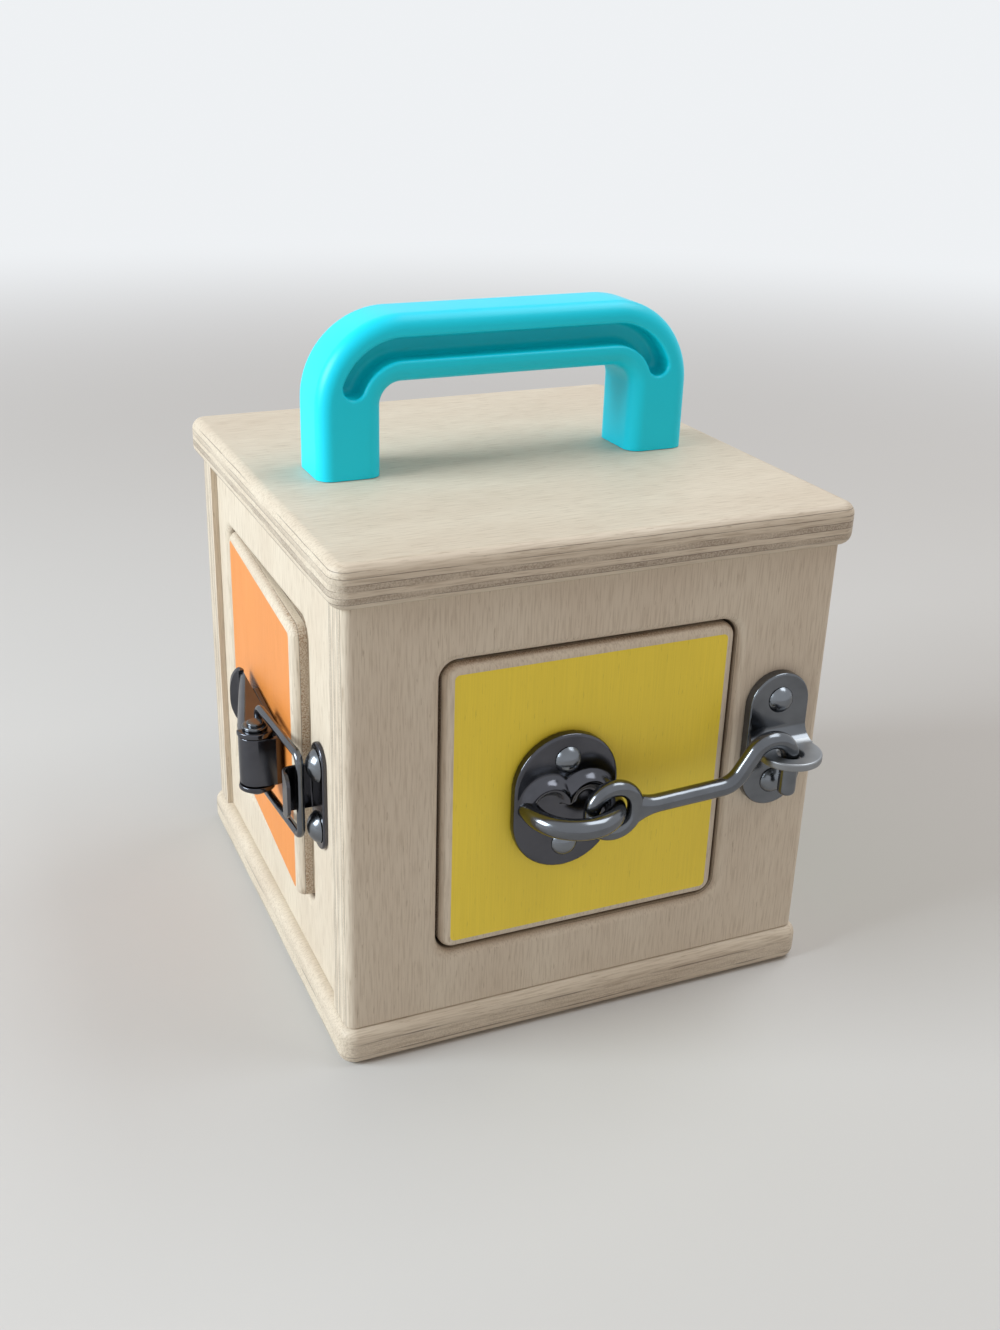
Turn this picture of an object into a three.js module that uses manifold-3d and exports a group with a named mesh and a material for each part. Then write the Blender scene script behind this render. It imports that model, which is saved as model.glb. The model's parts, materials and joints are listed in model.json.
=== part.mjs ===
// Lock box: a plywood cube with a latched, coloured door in each wall and a carrying handle on top.
// Millimetres, +Z up. The origin is the middle of the base's underside and the front faces -Y.
// Walls and latches are drawn in a face frame: X right, Y up, Z outward, seen from outside the wall,
// with its origin in the middle of the door opening on the wall's outer face.
import * as THREE from 'three';
import { mergeVertices } from 'three/addons/utils/BufferGeometryUtils.js';
import loadManifold from 'manifold-3d';

// Clearances and facets
const glueLine = 0.1;
const seatGap = 0.2;
const fit = 0.3;
const cutMargin = 1;
const tallBlock = 40;
const weld = 1e-4;
const degree = Math.PI / 180;
const cornerSteps = 4;
const edgeSteps = 3;
const arcStep = 22.5 * degree;
const roundSides = 12;
const thinSides = 8;
const rollSteps = 16;

// Plywood carcass
const panelThickness = 12;
const baseThickness = 12;
const topThickness = 12.5;
const railHeight = 19;
const frontHingeStile = 27.5;
const frontLatchStile = 31.5;
const sideHingeStile = 10;
const sideLatchStile = 26;
const sideRecess = 2;
const baseOverhang = 2;
const topOverhang = 3;
const boardCornerRadius = 5;
const boardEdgeRadius = 3.5;
const panelCornerRadius = 3;
const openingEdgeRadius = 2;

// Doors on concealed pins
const doorSize = 89.5;
const doorGap = 0.75;
const doorCornerRadius = 4.5;
const doorEdgeRadius = 3;
const doorBackRadius = 1;
const hingeInset = 6;
const hingeDepth = 4.8;
const hingePinDiameter = 3;
const hingePinGrip = 7;
const leftDoorAjar = 2.9;
const stopWidth = 10;
const stopHeight = 60;
const stopThickness = 6;
const stopReach = 4;
const stopEdgeRadius = 1;

// Carrying handle
const handleLength = 120;
const handleHeight = 46.5;
const handleDepth = 22;
const handleBar = 19.5;
const handleCornerRadius = 26;
const handleEdgeRadius = 4.5;
const handleSteps = 6;
const grooveWidth = 6.6;
const grooveDepth = 5;
const grooveEndAngle = 22;
const handleScrewDiameter = 4;
const handleScrewGrip = 14;
const screwHeadDiameter = 9;
const screwHeadHeight = 2.6;

// Domed rivets
const rivetHeadDiameter = 8;
const rivetHeadHeight = 2.4;
const rivetShankDiameter = 3.2;
const rivetGrip = 6;

// Cabin hook, front
const hookPlateThickness = 3;
const plateEdgeRadius = 0.8;
const hookRivetSpacing = 26.4;
const eyePlateWidth = 32;
const eyePlateHeight = 42;
const eyePlateX = -8.6;
const eyePlateY = -0.75;
const ridgeDiameter = 5.6;
const stapleWire = 6;
const stapleSpan = 24;
const stapleLeg = 7;
const hookWire = 5.3;
const hookEyeWire = 4.8;
const hookEyeDiameter = 13.8;
const hookEyeSlack = { x: -0.6, y: -0.3 };
const hookStandOff = 11.8;
const hookShankAngle = 2.5;
const hookShankDrop = 1;
const hookRiseAngle = 56;
const hookBendRadius = 8;
const hookCurlRadius = 6.8;
const hookCurlDrop = 0.2;
const hookTipInset = 0.9;
const hookTipDrop = 11;
const catchPlateWidth = 20;
const catchPlateHeight = 43;
const catchInset = 14.4;
const catchY = 6.3;
const lugWidth = 19;
const lugReach = 19.5;
const lugThickness = 2.4;
const lugDrop = 1.1;
const lugHoleLength = 7.4;
const lugHoleWidth = 7;
const lugFillet = 5;

// Toggle latch, left
const toggleY = -2.3;
const toggleInset = 17;
const togglePinHeight = 7.9;
const togglePinDiameter = 6;
const togglePinHead = 7.6;
const togglePinBoss = 4.8;
const togglePinStep = 0.9;
const toggleSheet = 1.8;
const togglePlateLength = 34;
const toggleKnuckleHeight = 15.6;
const toggleRollEnd = 285;
const toggleCorner = 4;
const toggleRivetsBack = [12, 26];
const leverSheet = 1.6;
const leverEarRadius = 5.5;
const leverLength = 45;
const leverSlope = 12.5;
const leverFlangeLength = 41;
const leverFlangeTip = 1.4;
const leverWebStart = 8;
const leverTabLength = 4;
const leverTabMargin = 0.4;
const leverTabAngle = 65;
const leverTabRadius = 2;
const bailWire = 2.4;
const bailPivotBack = 7.5;
const bailPivotDrop = 2.6;
const bailHeight = 26;
const bailCornerRadius = 3;
const bailEndHeight = 1.19;
const bailOverlap = 10.93;
const strikeThickness = 1.2;
const strikeWidth = 11;
const strikeHeight = 33.5;
const strikeInset = 11.5;
const strikeRivetSpacing = 19.8;
const strikeRivetHead = 9.6;
const strikeHookHeight = 14.4;
const strikeHookRise = 1;
const strikeHookCorner = 4;
const strikeHookLift = 10.5;
const strikeHookReach = 6.8;
const strikeHookRadius = 2.4;
const strikeHookInset = 6.2;
const strikeFootGap = 0.1;

// Barrel bolt, right
const boltDiameter = 7;
const boltTravel = 13;
const boltAxisHeight = 6.2;
const boltInset = 26;
const boltPlateLength = 36;
const boltPlateHeight = 30;
const boltPlateThickness = 1.5;
const boltPlateCorner = 4;
const boltGuideWidth = 6;
const boltGuideSheet = 1.6;
const boltRearReach = 17;
const boltTipInset = 1.5;
const boltTipRadius = 1.5;
const boltKnobDiameter = 6;
const boltKnobStem = 4;
const boltKnobHeight = 8.5;
const boltKnobMargin = 0.5;
const boltRivetSpacing = 21;
const keeperInset = 11;
const keeperLength = 14;
const keeperSaddle = 8;
const keeperPlay = 1;

// Swivel hasp, back
const haspSheet = 1.6;
const haspInset = 25.5;
const haspPinDiameter = 3;
const haspPinHead = 4.6;
const haspPinHeadHeight = 1;
const haspLeafLength = 17;
const haspHeight = 24;
const haspLeafCorner = 4;
const haspKnuckle = 11;
const haspRollSweep = 290;
const haspRivetSpacing = 13;
const haspRivetX = 9.5;
const haspStrapGap = 4;
const haspStrapEnd = 12;
const haspEndRadius = 9;
const haspSlotWidth = 9.6;
const haspSlotHeight = 19;
const stapleInset = 11.5;
const staplePlateWidth = 18;
const staplePlateHeight = 41;
const staplePlateThickness = 1.6;
const staplePlateRivets = 31;
const knobPostDiameter = 6;
const knobSpindleDiameter = 4;
const knobSpindleGrip = 6;
const knobBarLength = 16;
const knobBarWidth = 6;
const knobBarThickness = 5;
const knobBarGap = 1;
const knobEdgeRadius = 1;

// Sizes that follow
const openingSize = doorSize + 2 * doorGap;
const openingHalf = openingSize / 2;
const doorHalf = doorSize / 2;
const doorThickness = panelThickness;
const wallHeight = openingSize + 2 * railHeight;
const wallMiddle = baseThickness + wallHeight / 2;
const frontWidth = frontHingeStile + openingSize + frontLatchStile;
const sideWidth = sideHingeStile + openingSize + sideLatchStile;
const boxDepth = sideWidth + 2 * panelThickness;
const frontShift = (frontHingeStile - frontLatchStile) / 2;
const sideShift = (sideHingeStile - sideLatchStile) / 2;
const topUnderside = baseThickness + wallHeight;
const topFace = topUnderside + topThickness;
const hingeX = hingeInset - doorHalf;

const colours = {
  plywood: { color: 0xdcc9a5, roughness: 0.7, metalness: 0 },
  yellow: { color: 0xd6c03c, roughness: 0.6, metalness: 0 },
  orange: { color: 0xf28a3e, roughness: 0.6, metalness: 0 },
  green: { color: 0x6fae5c, roughness: 0.6, metalness: 0 },
  blue: { color: 0x4a8fc4, roughness: 0.6, metalness: 0 },
  plastic: { color: 0x22bfd0, roughness: 0.45, metalness: 0 },
  nickel: { color: 0x6f6a73, roughness: 0.22, metalness: 1 },
  steel: { color: 0xa9a9ad, roughness: 0.35, metalness: 1 },
};

const wasm = await loadManifold();
wasm.setup();

// Signed volume of an indexed triangle mesh, negative when its faces point inward.
function signedVolume(positions, index) {
  const corner = (i) => new THREE.Vector3().fromArray(positions, 3 * index[i]);
  let volume = 0;
  for (let i = 0; i < index.length; i += 3) {
    volume += corner(i).dot(corner(i + 1).cross(corner(i + 2))) / 6;
  }
  return volume;
}

// A three.js geometry as a closed solid: shared vertices merged, slivers dropped, faces outward.
function toSolid(geometry) {
  const bare = geometry.clone();
  bare.deleteAttribute('normal');
  bare.deleteAttribute('uv');
  const merged = mergeVertices(bare, weld);
  const positions = new Float32Array(merged.attributes.position.array);
  const triangles = [];
  for (let i = 0; i < merged.index.count; i += 3) {
    const [a, b, c] = [0, 1, 2].map((k) => merged.index.getX(i + k));
    if (a !== b && b !== c && c !== a) triangles.push(a, b, c);
  }
  if (signedVolume(positions, triangles) < 0) triangles.reverse();
  const triVerts = new Uint32Array(triangles);
  return new wasm.Manifold(new wasm.Mesh({ numProp: 3, vertProperties: positions, triVerts }));
}

function toGeometry(solid) {
  const { vertProperties, triVerts } = solid.getMesh();
  const geometry = new THREE.BufferGeometry();
  geometry.setAttribute('position', new THREE.BufferAttribute(vertProperties, 3));
  geometry.setIndex(new THREE.BufferAttribute(triVerts, 1));
  geometry.computeVertexNormals();
  return geometry;
}

const join = (...parts) => toGeometry(parts.map(toSolid).reduce((sum, part) => sum.add(part)));
const overlap = (a, b) => toGeometry(toSolid(a).intersect(toSolid(b)));

function cut(body, ...tools) {
  return toGeometry(tools.map(toSolid).reduce((rest, tool) => rest.subtract(tool), toSolid(body)));
}

function piece(name, geometry, colour) {
  const material = new THREE.MeshStandardMaterial(colours[colour]);
  const mesh = new THREE.Mesh(toGeometry(toSolid(geometry)), material);
  mesh.name = name;
  return mesh;
}

function placed(mesh, x, y, z) {
  mesh.position.set(x, y, z);
  return mesh;
}

// Points on an arc, both ends included
function arc(centreX, centreY, radius, startDegrees, endDegrees, steps) {
  return Array.from({ length: steps + 1 }, (_, i) => {
    const angle = (startDegrees + ((endDegrees - startDegrees) * i) / steps) * degree;
    return new THREE.Vector2(centreX + radius * Math.cos(angle), centreY + radius * Math.sin(angle));
  });
}

function circle(radius, sides) {
  return arc(0, 0, radius, 0, 360, sides).slice(1);
}

function roundedRectangle(width, height, radius) {
  const x = width / 2 - radius;
  const y = height / 2 - radius;
  const corners = [[x, -y, -90], [x, y, 0], [-x, y, 90], [-x, -y, 180]];
  const points = corners.flatMap(([cx, cy, start]) => arc(cx, cy, radius, start, start + 90, cornerSteps));
  return points.filter((point, i) => point.distanceTo(points.at(i - 1)) > weld);
}

// Closed body through a stack of matching outlines, each a list of points at its own level.
function loft(outlines, levels) {
  const count = outlines[0].length;
  const last = (outlines.length - 1) * count;
  const positions = outlines.flatMap((outline, k) => {
    return outline.flatMap((point) => [point.x, point.y, levels[k]]);
  });
  const index = [];
  for (let base = 0; base < last; base += count) {
    for (let i = 0; i < count; i += 1) {
      const a = base + i;
      const b = base + ((i + 1) % count);
      index.push(a, b, b + count, a, b + count, a + count);
    }
  }
  for (let i = 1; i < count - 1; i += 1) {
    index.push(0, i + 1, i, last, last + i, last + i + 1);
  }
  const geometry = new THREE.BufferGeometry();
  geometry.setAttribute('position', new THREE.Float32BufferAttribute(positions, 3));
  geometry.setIndex(index);
  return geometry;
}

// Rows of [growth, level] through a thickness whose back and front edges are rounded over.
function edgeRows(thickness, backRadius, frontRadius, backSteps = edgeSteps) {
  const back = arc(-backRadius, backRadius, backRadius, -90, 0, backSteps);
  const front = arc(-frontRadius, thickness - frontRadius, frontRadius, 0, 90, edgeSteps);
  const rows = [...(backRadius > 0 ? back : back.slice(-1)), ...(frontRadius > 0 ? front : front.slice(-1))];
  return rows.map((point) => [point.x, point.y]);
}

// Plate in the XY plane with rounded corners, rising along Z through the rows given.
function slab(width, height, radius, rows) {
  const outlines = rows.map(([grow]) => roundedRectangle(width + 2 * grow, height + 2 * grow, radius + grow));
  return loft(outlines, rows.map(([, level]) => level));
}

// Outline drawn in X and Z, extruded along Y and centred on it
function upright(points, depth) {
  const geometry = new THREE.ExtrudeGeometry(new THREE.Shape(points), { depth, bevelEnabled: false });
  return geometry.translate(0, 0, -depth / 2).rotateX(Math.PI / 2);
}

// A polyline whose inner corners are rounded
function filleted(corners, radii) {
  const points = corners.flatMap((corner, i) => {
    if (i === 0 || i === corners.length - 1) return [corner];
    const before = corners[i - 1].clone().sub(corner).normalize();
    const after = corners[i + 1].clone().sub(corner).normalize();
    const turn = Math.PI - before.angleTo(after);
    const inward = before.clone().add(after).normalize();
    const along = after.clone().sub(before).normalize();
    const radius = radii[i - 1];
    const centre = corner.clone().addScaledVector(inward, radius / Math.cos(turn / 2));
    const steps = Math.max(2, Math.round(turn / arcStep));
    return Array.from({ length: steps + 1 }, (_, k) => {
      const angle = turn * (k / steps - 0.5);
      const out = centre.clone().addScaledVector(inward, -radius * Math.cos(angle));
      return out.addScaledVector(along, radius * Math.sin(angle));
    });
  });
  return points.filter((point, i) => i === 0 || point.distanceTo(points[i - 1]) > weld);
}

// Route of a wire, stepped from point to point
class WirePath extends THREE.Curve {
  constructor(points) {
    super();
    this.points = points;
  }

  getPoint(t) {
    const place = t * (this.points.length - 1);
    const i = Math.min(Math.floor(place + weld), this.points.length - 2);
    return this.points[i].clone().lerp(this.points[i + 1], place - i);
  }

  getPointAt(t) {
    return this.getPoint(t);
  }

  getTangentAt(t) {
    const i = Math.round(t * (this.points.length - 1));
    const next = this.points[Math.min(i + 1, this.points.length - 1)];
    const previous = this.points[Math.max(i - 1, 0)];
    return next.clone().sub(previous).normalize();
  }
}

function wire(points, diameter, sides) {
  const section = new THREE.Shape(circle(diameter / 2, sides));
  const settings = { steps: points.length - 1, extrudePath: new WirePath(points), bevelEnabled: false };
  return new THREE.ExtrudeGeometry(section, settings);
}

// Sheet metal bent along a line drawn in X and Z
function bentSheet(line, thickness, width) {
  const sides = line.map((point, i) => {
    const next = line[Math.min(i + 1, line.length - 1)];
    const previous = line[Math.max(i - 1, 0)];
    const along = next.clone().sub(previous).normalize();
    const half = new THREE.Vector2(-along.y, along.x).multiplyScalar(thickness / 2);
    return [point.clone().add(half), point.clone().sub(half)];
  });
  const outline = [...sides.map(([left]) => left), ...sides.map(([, right]) => right).reverse()];
  return upright(outline, width);
}

const point2 = (x, y) => new THREE.Vector2(x, y);
const point3 = (x, y, z) => new THREE.Vector3(x, y, z);

// Flat corners rounded in the plane and returned as plane points
function bentLine(corners, radii) {
  return filleted(corners.map(([x, y]) => point3(x, y, 0)), radii).map((point) => point2(point.x, point.y));
}

// Bar along Y between two heights
function roundBar(diameter, length, sides) {
  return new THREE.CylinderGeometry(diameter / 2, diameter / 2, length, sides);
}

// Hole drilled along Z, from one level to another
function drill(diameter, x, y, fromZ, toZ) {
  const bar = roundBar(diameter, toZ - fromZ, thinSides).rotateX(Math.PI / 2);
  return bar.translate(x, y, (fromZ + toZ) / 2);
}

// Profile turned about Z, given as radius and height from the axis back to the axis
function turned(profile, sides) {
  return new THREE.LatheGeometry(profile, sides).rotateX(Math.PI / 2);
}

function domeProfile(diameter, height, level) {
  const half = diameter / 2;
  const sphere = (half * half + height * height) / (2 * height);
  const rim = Math.asin(half / sphere) / degree;
  const rimAngle = height > half ? rim - 90 : 90 - rim;
  return arc(0, level + height - sphere, sphere, rimAngle, 90, edgeSteps);
}

// Rivets: the head's underside is at level zero
function rivetAt(name, x, y, plateThickness, headDiameter = rivetHeadDiameter) {
  const level = plateThickness + 2 * seatGap;
  const headHeight = (rivetHeadHeight * headDiameter) / rivetHeadDiameter;
  const shank = rivetShankDiameter / 2;
  const foot = -level - rivetGrip;
  const profile = [point2(0, foot), point2(shank, foot), point2(shank, 0)];
  const body = turned([...profile, ...domeProfile(headDiameter, headHeight, 0)], roundSides);
  return placed(piece(name, body, 'nickel'), x, y, level);
}

function rivetHole(x, y) {
  const foot = -rivetGrip - fit;
  const crest = hookPlateThickness + cutMargin;
  return drill(rivetShankDiameter + 2 * fit, x, y, foot, crest);
}

const rivetPair = (x, y, spacing) => [[x, y + spacing / 2], [x, y - spacing / 2]];
const rivetHoles = (places) => places.map(([x, y]) => rivetHole(x, y));

function addRivets(group, name, places, plateThickness, headDiameter) {
  const ends = ['upper', 'lower'];
  places.forEach(([x, y], i) => {
    group.add(rivetAt(`${name}_rivet_${ends[i]}`, x, y, plateThickness, headDiameter));
  });
}

const box = new THREE.Group();

// Boards
function board(name, overhang, thickness, level, holes) {
  const rows = edgeRows(thickness, boardEdgeRadius, boardEdgeRadius);
  const blank = slab(frontWidth + 2 * overhang, boxDepth + 2 * overhang, boardCornerRadius, rows);
  box.add(placed(piece(name, cut(blank, ...holes), 'plywood'), 0, 0, level));
}

const handleLegX = (handleLength - handleBar) / 2;
const screwHole = handleScrewDiameter + 2 * fit;
const screwHoles = [-handleLegX, handleLegX].map((x) => {
  return drill(screwHole, x, 0, -cutMargin, topThickness + cutMargin);
});
board('base_board', baseOverhang, baseThickness, 0, []);
board('top_board', topOverhang, topThickness, topUnderside, screwHoles);

// Handle: a bridge with a finger groove in each face, drawn in X and Y, deep along Z
function handleBridge() {
  const half = handleLength / 2;
  const outer = handleCornerRadius;
  const inner = outer - handleBar;
  const bendX = half - outer;
  const bendY = handleHeight - outer;
  const foot = -2 * handleEdgeRadius;
  const outline = [
    point2(half, foot),
    ...arc(bendX, bendY, outer, 0, 90, handleSteps),
    ...arc(-bendX, bendY, outer, 90, 180, handleSteps),
    point2(-half, foot),
    point2(handleBar - half, foot),
    ...arc(-bendX, bendY, inner, 180, 90, cornerSteps),
    ...arc(bendX, bendY, inner, 90, 0, cornerSteps),
    point2(half - handleBar, foot),
  ];
  const blank = new THREE.ExtrudeGeometry(new THREE.Shape(outline), {
    depth: handleDepth - 2 * handleEdgeRadius,
    bevelSize: handleEdgeRadius,
    bevelThickness: handleEdgeRadius,
    bevelOffset: -handleEdgeRadius,
    bevelSegments: cornerSteps,
  }).translate(0, 0, handleEdgeRadius - handleDepth / 2);
  const below = new THREE.BoxGeometry(2 * handleLength, handleHeight, 2 * handleDepth);
  below.translate(0, -handleHeight / 2, 0);
  return cut(blank, below, ...handleGrooves(bendX, bendY), ...handleScrewBores());
}

function handleGrooves(bendX, bendY) {
  const middle = handleCornerRadius - handleBar / 2;
  const end = grooveWidth / 2;
  const endX = bendX + middle * Math.cos(grooveEndAngle * degree);
  const endY = bendY + middle * Math.sin(grooveEndAngle * degree);
  const turn = 180 - grooveEndAngle;
  const outline = [
    ...arc(bendX, bendY, middle + end, grooveEndAngle, 90, handleSteps),
    ...arc(-bendX, bendY, middle + end, 90, turn, handleSteps),
    ...arc(-endX, endY, end, turn, turn + 180, cornerSteps).slice(1, -1),
    ...arc(-bendX, bendY, middle - end, turn, 90, handleSteps),
    ...arc(bendX, bendY, middle - end, 90, grooveEndAngle, handleSteps),
    ...arc(endX, endY, end, grooveEndAngle + 180, grooveEndAngle + 360, cornerSteps).slice(1, -1),
  ];
  const settings = { depth: 2 * grooveDepth, bevelEnabled: false };
  const groove = new THREE.ExtrudeGeometry(new THREE.Shape(outline), settings);
  return [-1, 1].map((side) => groove.clone().translate(0, 0, (side * handleDepth) / 2 - grooveDepth));
}

function handleScrewBores() {
  const depth = handleScrewGrip + fit;
  const bore = roundBar(screwHole, depth + cutMargin, thinSides);
  return [-handleLegX, handleLegX].map((x) => bore.clone().translate(x, (depth - cutMargin) / 2, 0));
}

const handle = piece('carry_handle', handleBridge(), 'plastic');
handle.rotation.x = Math.PI / 2;
box.add(placed(handle, 0, 0, topFace + seatGap));

// Screws driven up from inside: the head's bearing face is at level zero
function handleScrew(name, x) {
  const head = screwHeadDiameter / 2;
  const shank = handleScrewDiameter / 2;
  const tip = topThickness + 2 * seatGap + handleScrewGrip;
  const dome = domeProfile(screwHeadDiameter, screwHeadHeight, 0);
  const under = dome.map((point) => point2(point.x, -point.y)).reverse();
  const profile = [...under, point2(head, 0), point2(shank, 0), point2(shank, tip - shank), point2(0, tip)];
  box.add(placed(piece(name, turned(profile, roundSides), 'steel'), x, 0, topUnderside - seatGap));
}

handleScrew('handle_screw_left', -handleLegX);
handleScrew('handle_screw_right', handleLegX);

// Walls and doors
function faceFrame(turnDegrees, distance, shift) {
  const turn = new THREE.Group();
  const face = new THREE.Group();
  turn.rotation.z = turnDegrees * degree;
  face.rotation.x = Math.PI / 2;
  face.position.set(shift, -distance, wallMiddle);
  turn.add(face);
  box.add(turn);
  return face;
}

function hingePinBar(diameter, length, end) {
  const bar = roundBar(diameter, length, roundSides);
  return bar.translate(hingeX, end * (doorHalf + doorGap / 2), -hingeDepth);
}

const hingePinLength = 2 * hingePinGrip + doorGap;
const hingeHoles = [1, -1].map((end) => {
  return hingePinBar(hingePinDiameter + 2 * fit, hingePinLength + 2 * fit, end);
});

// Opening with its outer edge rounded over
function openingTool() {
  const radius = doorCornerRadius + doorGap;
  const edge = openingEdgeRadius;
  const mouth = arc(edge, -edge, edge, 180, 90, edgeSteps).map((point) => [point.x, point.y]);
  const rows = [[0, -panelThickness - cutMargin], ...mouth, [edge, cutMargin]];
  return slab(openingSize, openingSize, radius, rows);
}

function wall(name, face, width, shift, edgeRadius, holes) {
  const rows = edgeRows(panelThickness, 0, edgeRadius);
  const height = wallHeight - 2 * glueLine;
  const outlines = rows.map(([grow]) => roundedRectangle(width + 2 * grow, height, 0));
  const levels = rows.map(([, level]) => level - panelThickness);
  const blank = loft(outlines, levels).translate(-shift, 0, 0);
  face.add(piece(name, cut(blank, openingTool(), ...hingeHoles, ...holes), 'plywood'));
}

function doorFrame(face, ajarDegrees) {
  const pivot = new THREE.Group();
  const door = new THREE.Group();
  pivot.position.set(hingeX, 0, -hingeDepth);
  pivot.rotation.y = -ajarDegrees * degree;
  door.position.set(-hingeX, 0, hingeDepth);
  pivot.add(door);
  face.add(pivot);
  return door;
}

function door(side, face, group, colour, rivets) {
  const rows = edgeRows(doorThickness, doorBackRadius, doorEdgeRadius, 1);
  const blank = slab(doorSize, doorSize, doorCornerRadius, rows).translate(0, 0, -doorThickness);
  group.add(piece(`${side}_door`, cut(blank, ...hingeHoles, ...rivetHoles(rivets)), colour));
  face.add(piece(`${side}_door_upper_pin`, hingePinBar(hingePinDiameter, hingePinLength, 1), 'steel'));
  face.add(piece(`${side}_door_lower_pin`, hingePinBar(hingePinDiameter, hingePinLength, -1), 'steel'));
  const stop = slab(stopWidth, stopHeight, stopEdgeRadius, edgeRows(stopThickness, stopEdgeRadius / 2, 0, 1));
  const stopX = openingHalf - stopReach + stopWidth / 2;
  const stopZ = -panelThickness - seatGap - stopThickness;
  face.add(placed(piece(`${side}_door_stop`, stop, 'plywood'), stopX, 0, stopZ));
}

function flatPlate(width, height, radius, thickness) {
  const edge = Math.min(plateEdgeRadius, thickness / 2);
  return slab(width, height, radius, edgeRows(thickness, 0, edge));
}

// Tall block that trims bent sheet to a plan with rounded corners
function planBlock(width, height, radius) {
  return slab(width, height, radius, [[0, -tallBlock], [0, tallBlock]]);
}

// Blocks that trim bent sheet down to a middle tongue of the height given
function endNotches(height, length) {
  const block = new THREE.BoxGeometry(length, 2 * tallBlock, 2 * tallBlock);
  return [1, -1].map((end) => block.clone().translate(0, end * (height / 2 + tallBlock), 0));
}

// Cabin hook
const catchX = openingHalf + catchInset;
const hookTipX = catchX - hookTipInset;
const eyeRivets = rivetPair(eyePlateX, eyePlateY, hookRivetSpacing);
const catchRivets = rivetPair(catchX, catchY, hookRivetSpacing);
const hookPlateTop = seatGap + hookPlateThickness;

function staplePoints(footZ) {
  const half = stapleSpan / 2;
  const crown = stapleLeg + half;
  const corners = [[-half, footZ], [-half, crown], [half, crown], [half, footZ]];
  const route = corners.map(([x, z]) => point3(eyePlateX + x, eyePlateY, z));
  return filleted(route, [half, half]);
}

// Half ring pressed up in the plate, from its middle to the foot of one staple leg
function eyeRidge(side) {
  const radius = stapleSpan / 4;
  const route = arc(eyePlateX + side * radius, eyePlateY, radius, 0, 180, 2 * cornerSteps);
  return wire(route.map((point) => point3(point.x, point.y, hookPlateTop)), ridgeDiameter, thinSides);
}

function hookEyePlate() {
  const half = eyePlateWidth / 2;
  const plate = flatPlate(eyePlateWidth, eyePlateHeight, half, hookPlateThickness);
  const behind = new THREE.BoxGeometry(2 * eyePlateWidth, 2 * eyePlateHeight, 2 * hookPlateThickness);
  const pressed = join(plate.translate(eyePlateX, eyePlateY, seatGap), eyeRidge(-1), eyeRidge(1));
  const legs = wire(staplePoints(seatGap + fit), stapleWire + 2 * fit, roundSides);
  const back = behind.translate(eyePlateX, eyePlateY, seatGap - hookPlateThickness);
  return cut(pressed, back, legs, ...rivetHoles(eyeRivets));
}

function hookCatchPlate() {
  const half = catchPlateWidth / 2;
  const lugHalf = lugWidth / 2;
  const root = seatGap + hookPlateThickness / 2;
  const lugY = catchY - lugDrop;
  const plate = flatPlate(catchPlateWidth, catchPlateHeight, half, hookPlateThickness);
  const end = arc(0, lugReach - lugHalf, lugHalf, 0, 180, 2 * cornerSteps);
  const lug = upright([point2(lugHalf, root), ...end, point2(-lugHalf, root)], lugThickness);
  const hole = upright(roundedRectangle(lugHoleLength, lugHoleWidth, lugHoleWidth / 2), 2 * lugThickness);
  const sweep = arc(lugFillet, lugFillet, lugFillet, 180, 270, edgeSteps);
  const fillet = new THREE.Shape([point2(-lugThickness / 2, -lugThickness / 2), ...sweep.reverse()]);
  const rib = new THREE.ExtrudeGeometry(fillet, { depth: lugWidth, bevelEnabled: false });
  rib.rotateY(-Math.PI / 2).translate(catchX + lugHalf, lugY + lugThickness / 2, hookPlateTop);
  const body = join(plate.translate(catchX, catchY, seatGap), lug.translate(catchX, lugY, 0), rib);
  return cut(body, hole.translate(hookTipX, lugY, hookStandOff), ...rivetHoles(catchRivets));
}

// The hook's eye turns on the bow of the staple, where the bow has leaned inward.
const hookEyeLean = Math.asin((hookStandOff - stapleLeg) / (stapleSpan / 2));
const hookEyeX = eyePlateX + (stapleSpan / 2) * Math.cos(hookEyeLean) + hookEyeSlack.x;
const hookEyeY = eyePlateY + hookEyeSlack.y;

function hookRoute() {
  const lugY = catchY - lugDrop;
  const eye = point2(hookEyeX, hookEyeY - hookShankDrop);
  const shank = point2(Math.cos(hookShankAngle * degree), Math.sin(hookShankAngle * degree));
  const rise = point2(Math.cos(hookRiseAngle * degree), Math.sin(hookRiseAngle * degree));
  const touch = point2(hookTipX - hookCurlRadius, lugY - hookCurlDrop).add(
    point2(-rise.y, rise.x).multiplyScalar(hookCurlRadius),
  );
  const reach = touch.clone().sub(eye).cross(rise) / shank.cross(rise);
  const bend = eye.clone().addScaledVector(shank, reach);
  const peak = touch.clone().addScaledVector(rise, (hookTipX - touch.x) / rise.x);
  const start = eye.clone().addScaledVector(shank, hookEyeDiameter / 2);
  const tip = point2(hookTipX, lugY - lugThickness / 2 - hookTipDrop);
  const route = [start, bend, peak, tip].map((point) => point3(point.x, point.y, hookStandOff));
  return filleted(route, [hookBendRadius, hookCurlRadius]);
}

function cabinHook() {
  const eye = new THREE.TorusGeometry(hookEyeDiameter / 2, hookEyeWire / 2, thinSides, 2 * roundSides);
  return join(eye.translate(hookEyeX, hookEyeY, hookStandOff), wire(hookRoute(), hookWire, roundSides));
}

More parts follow.
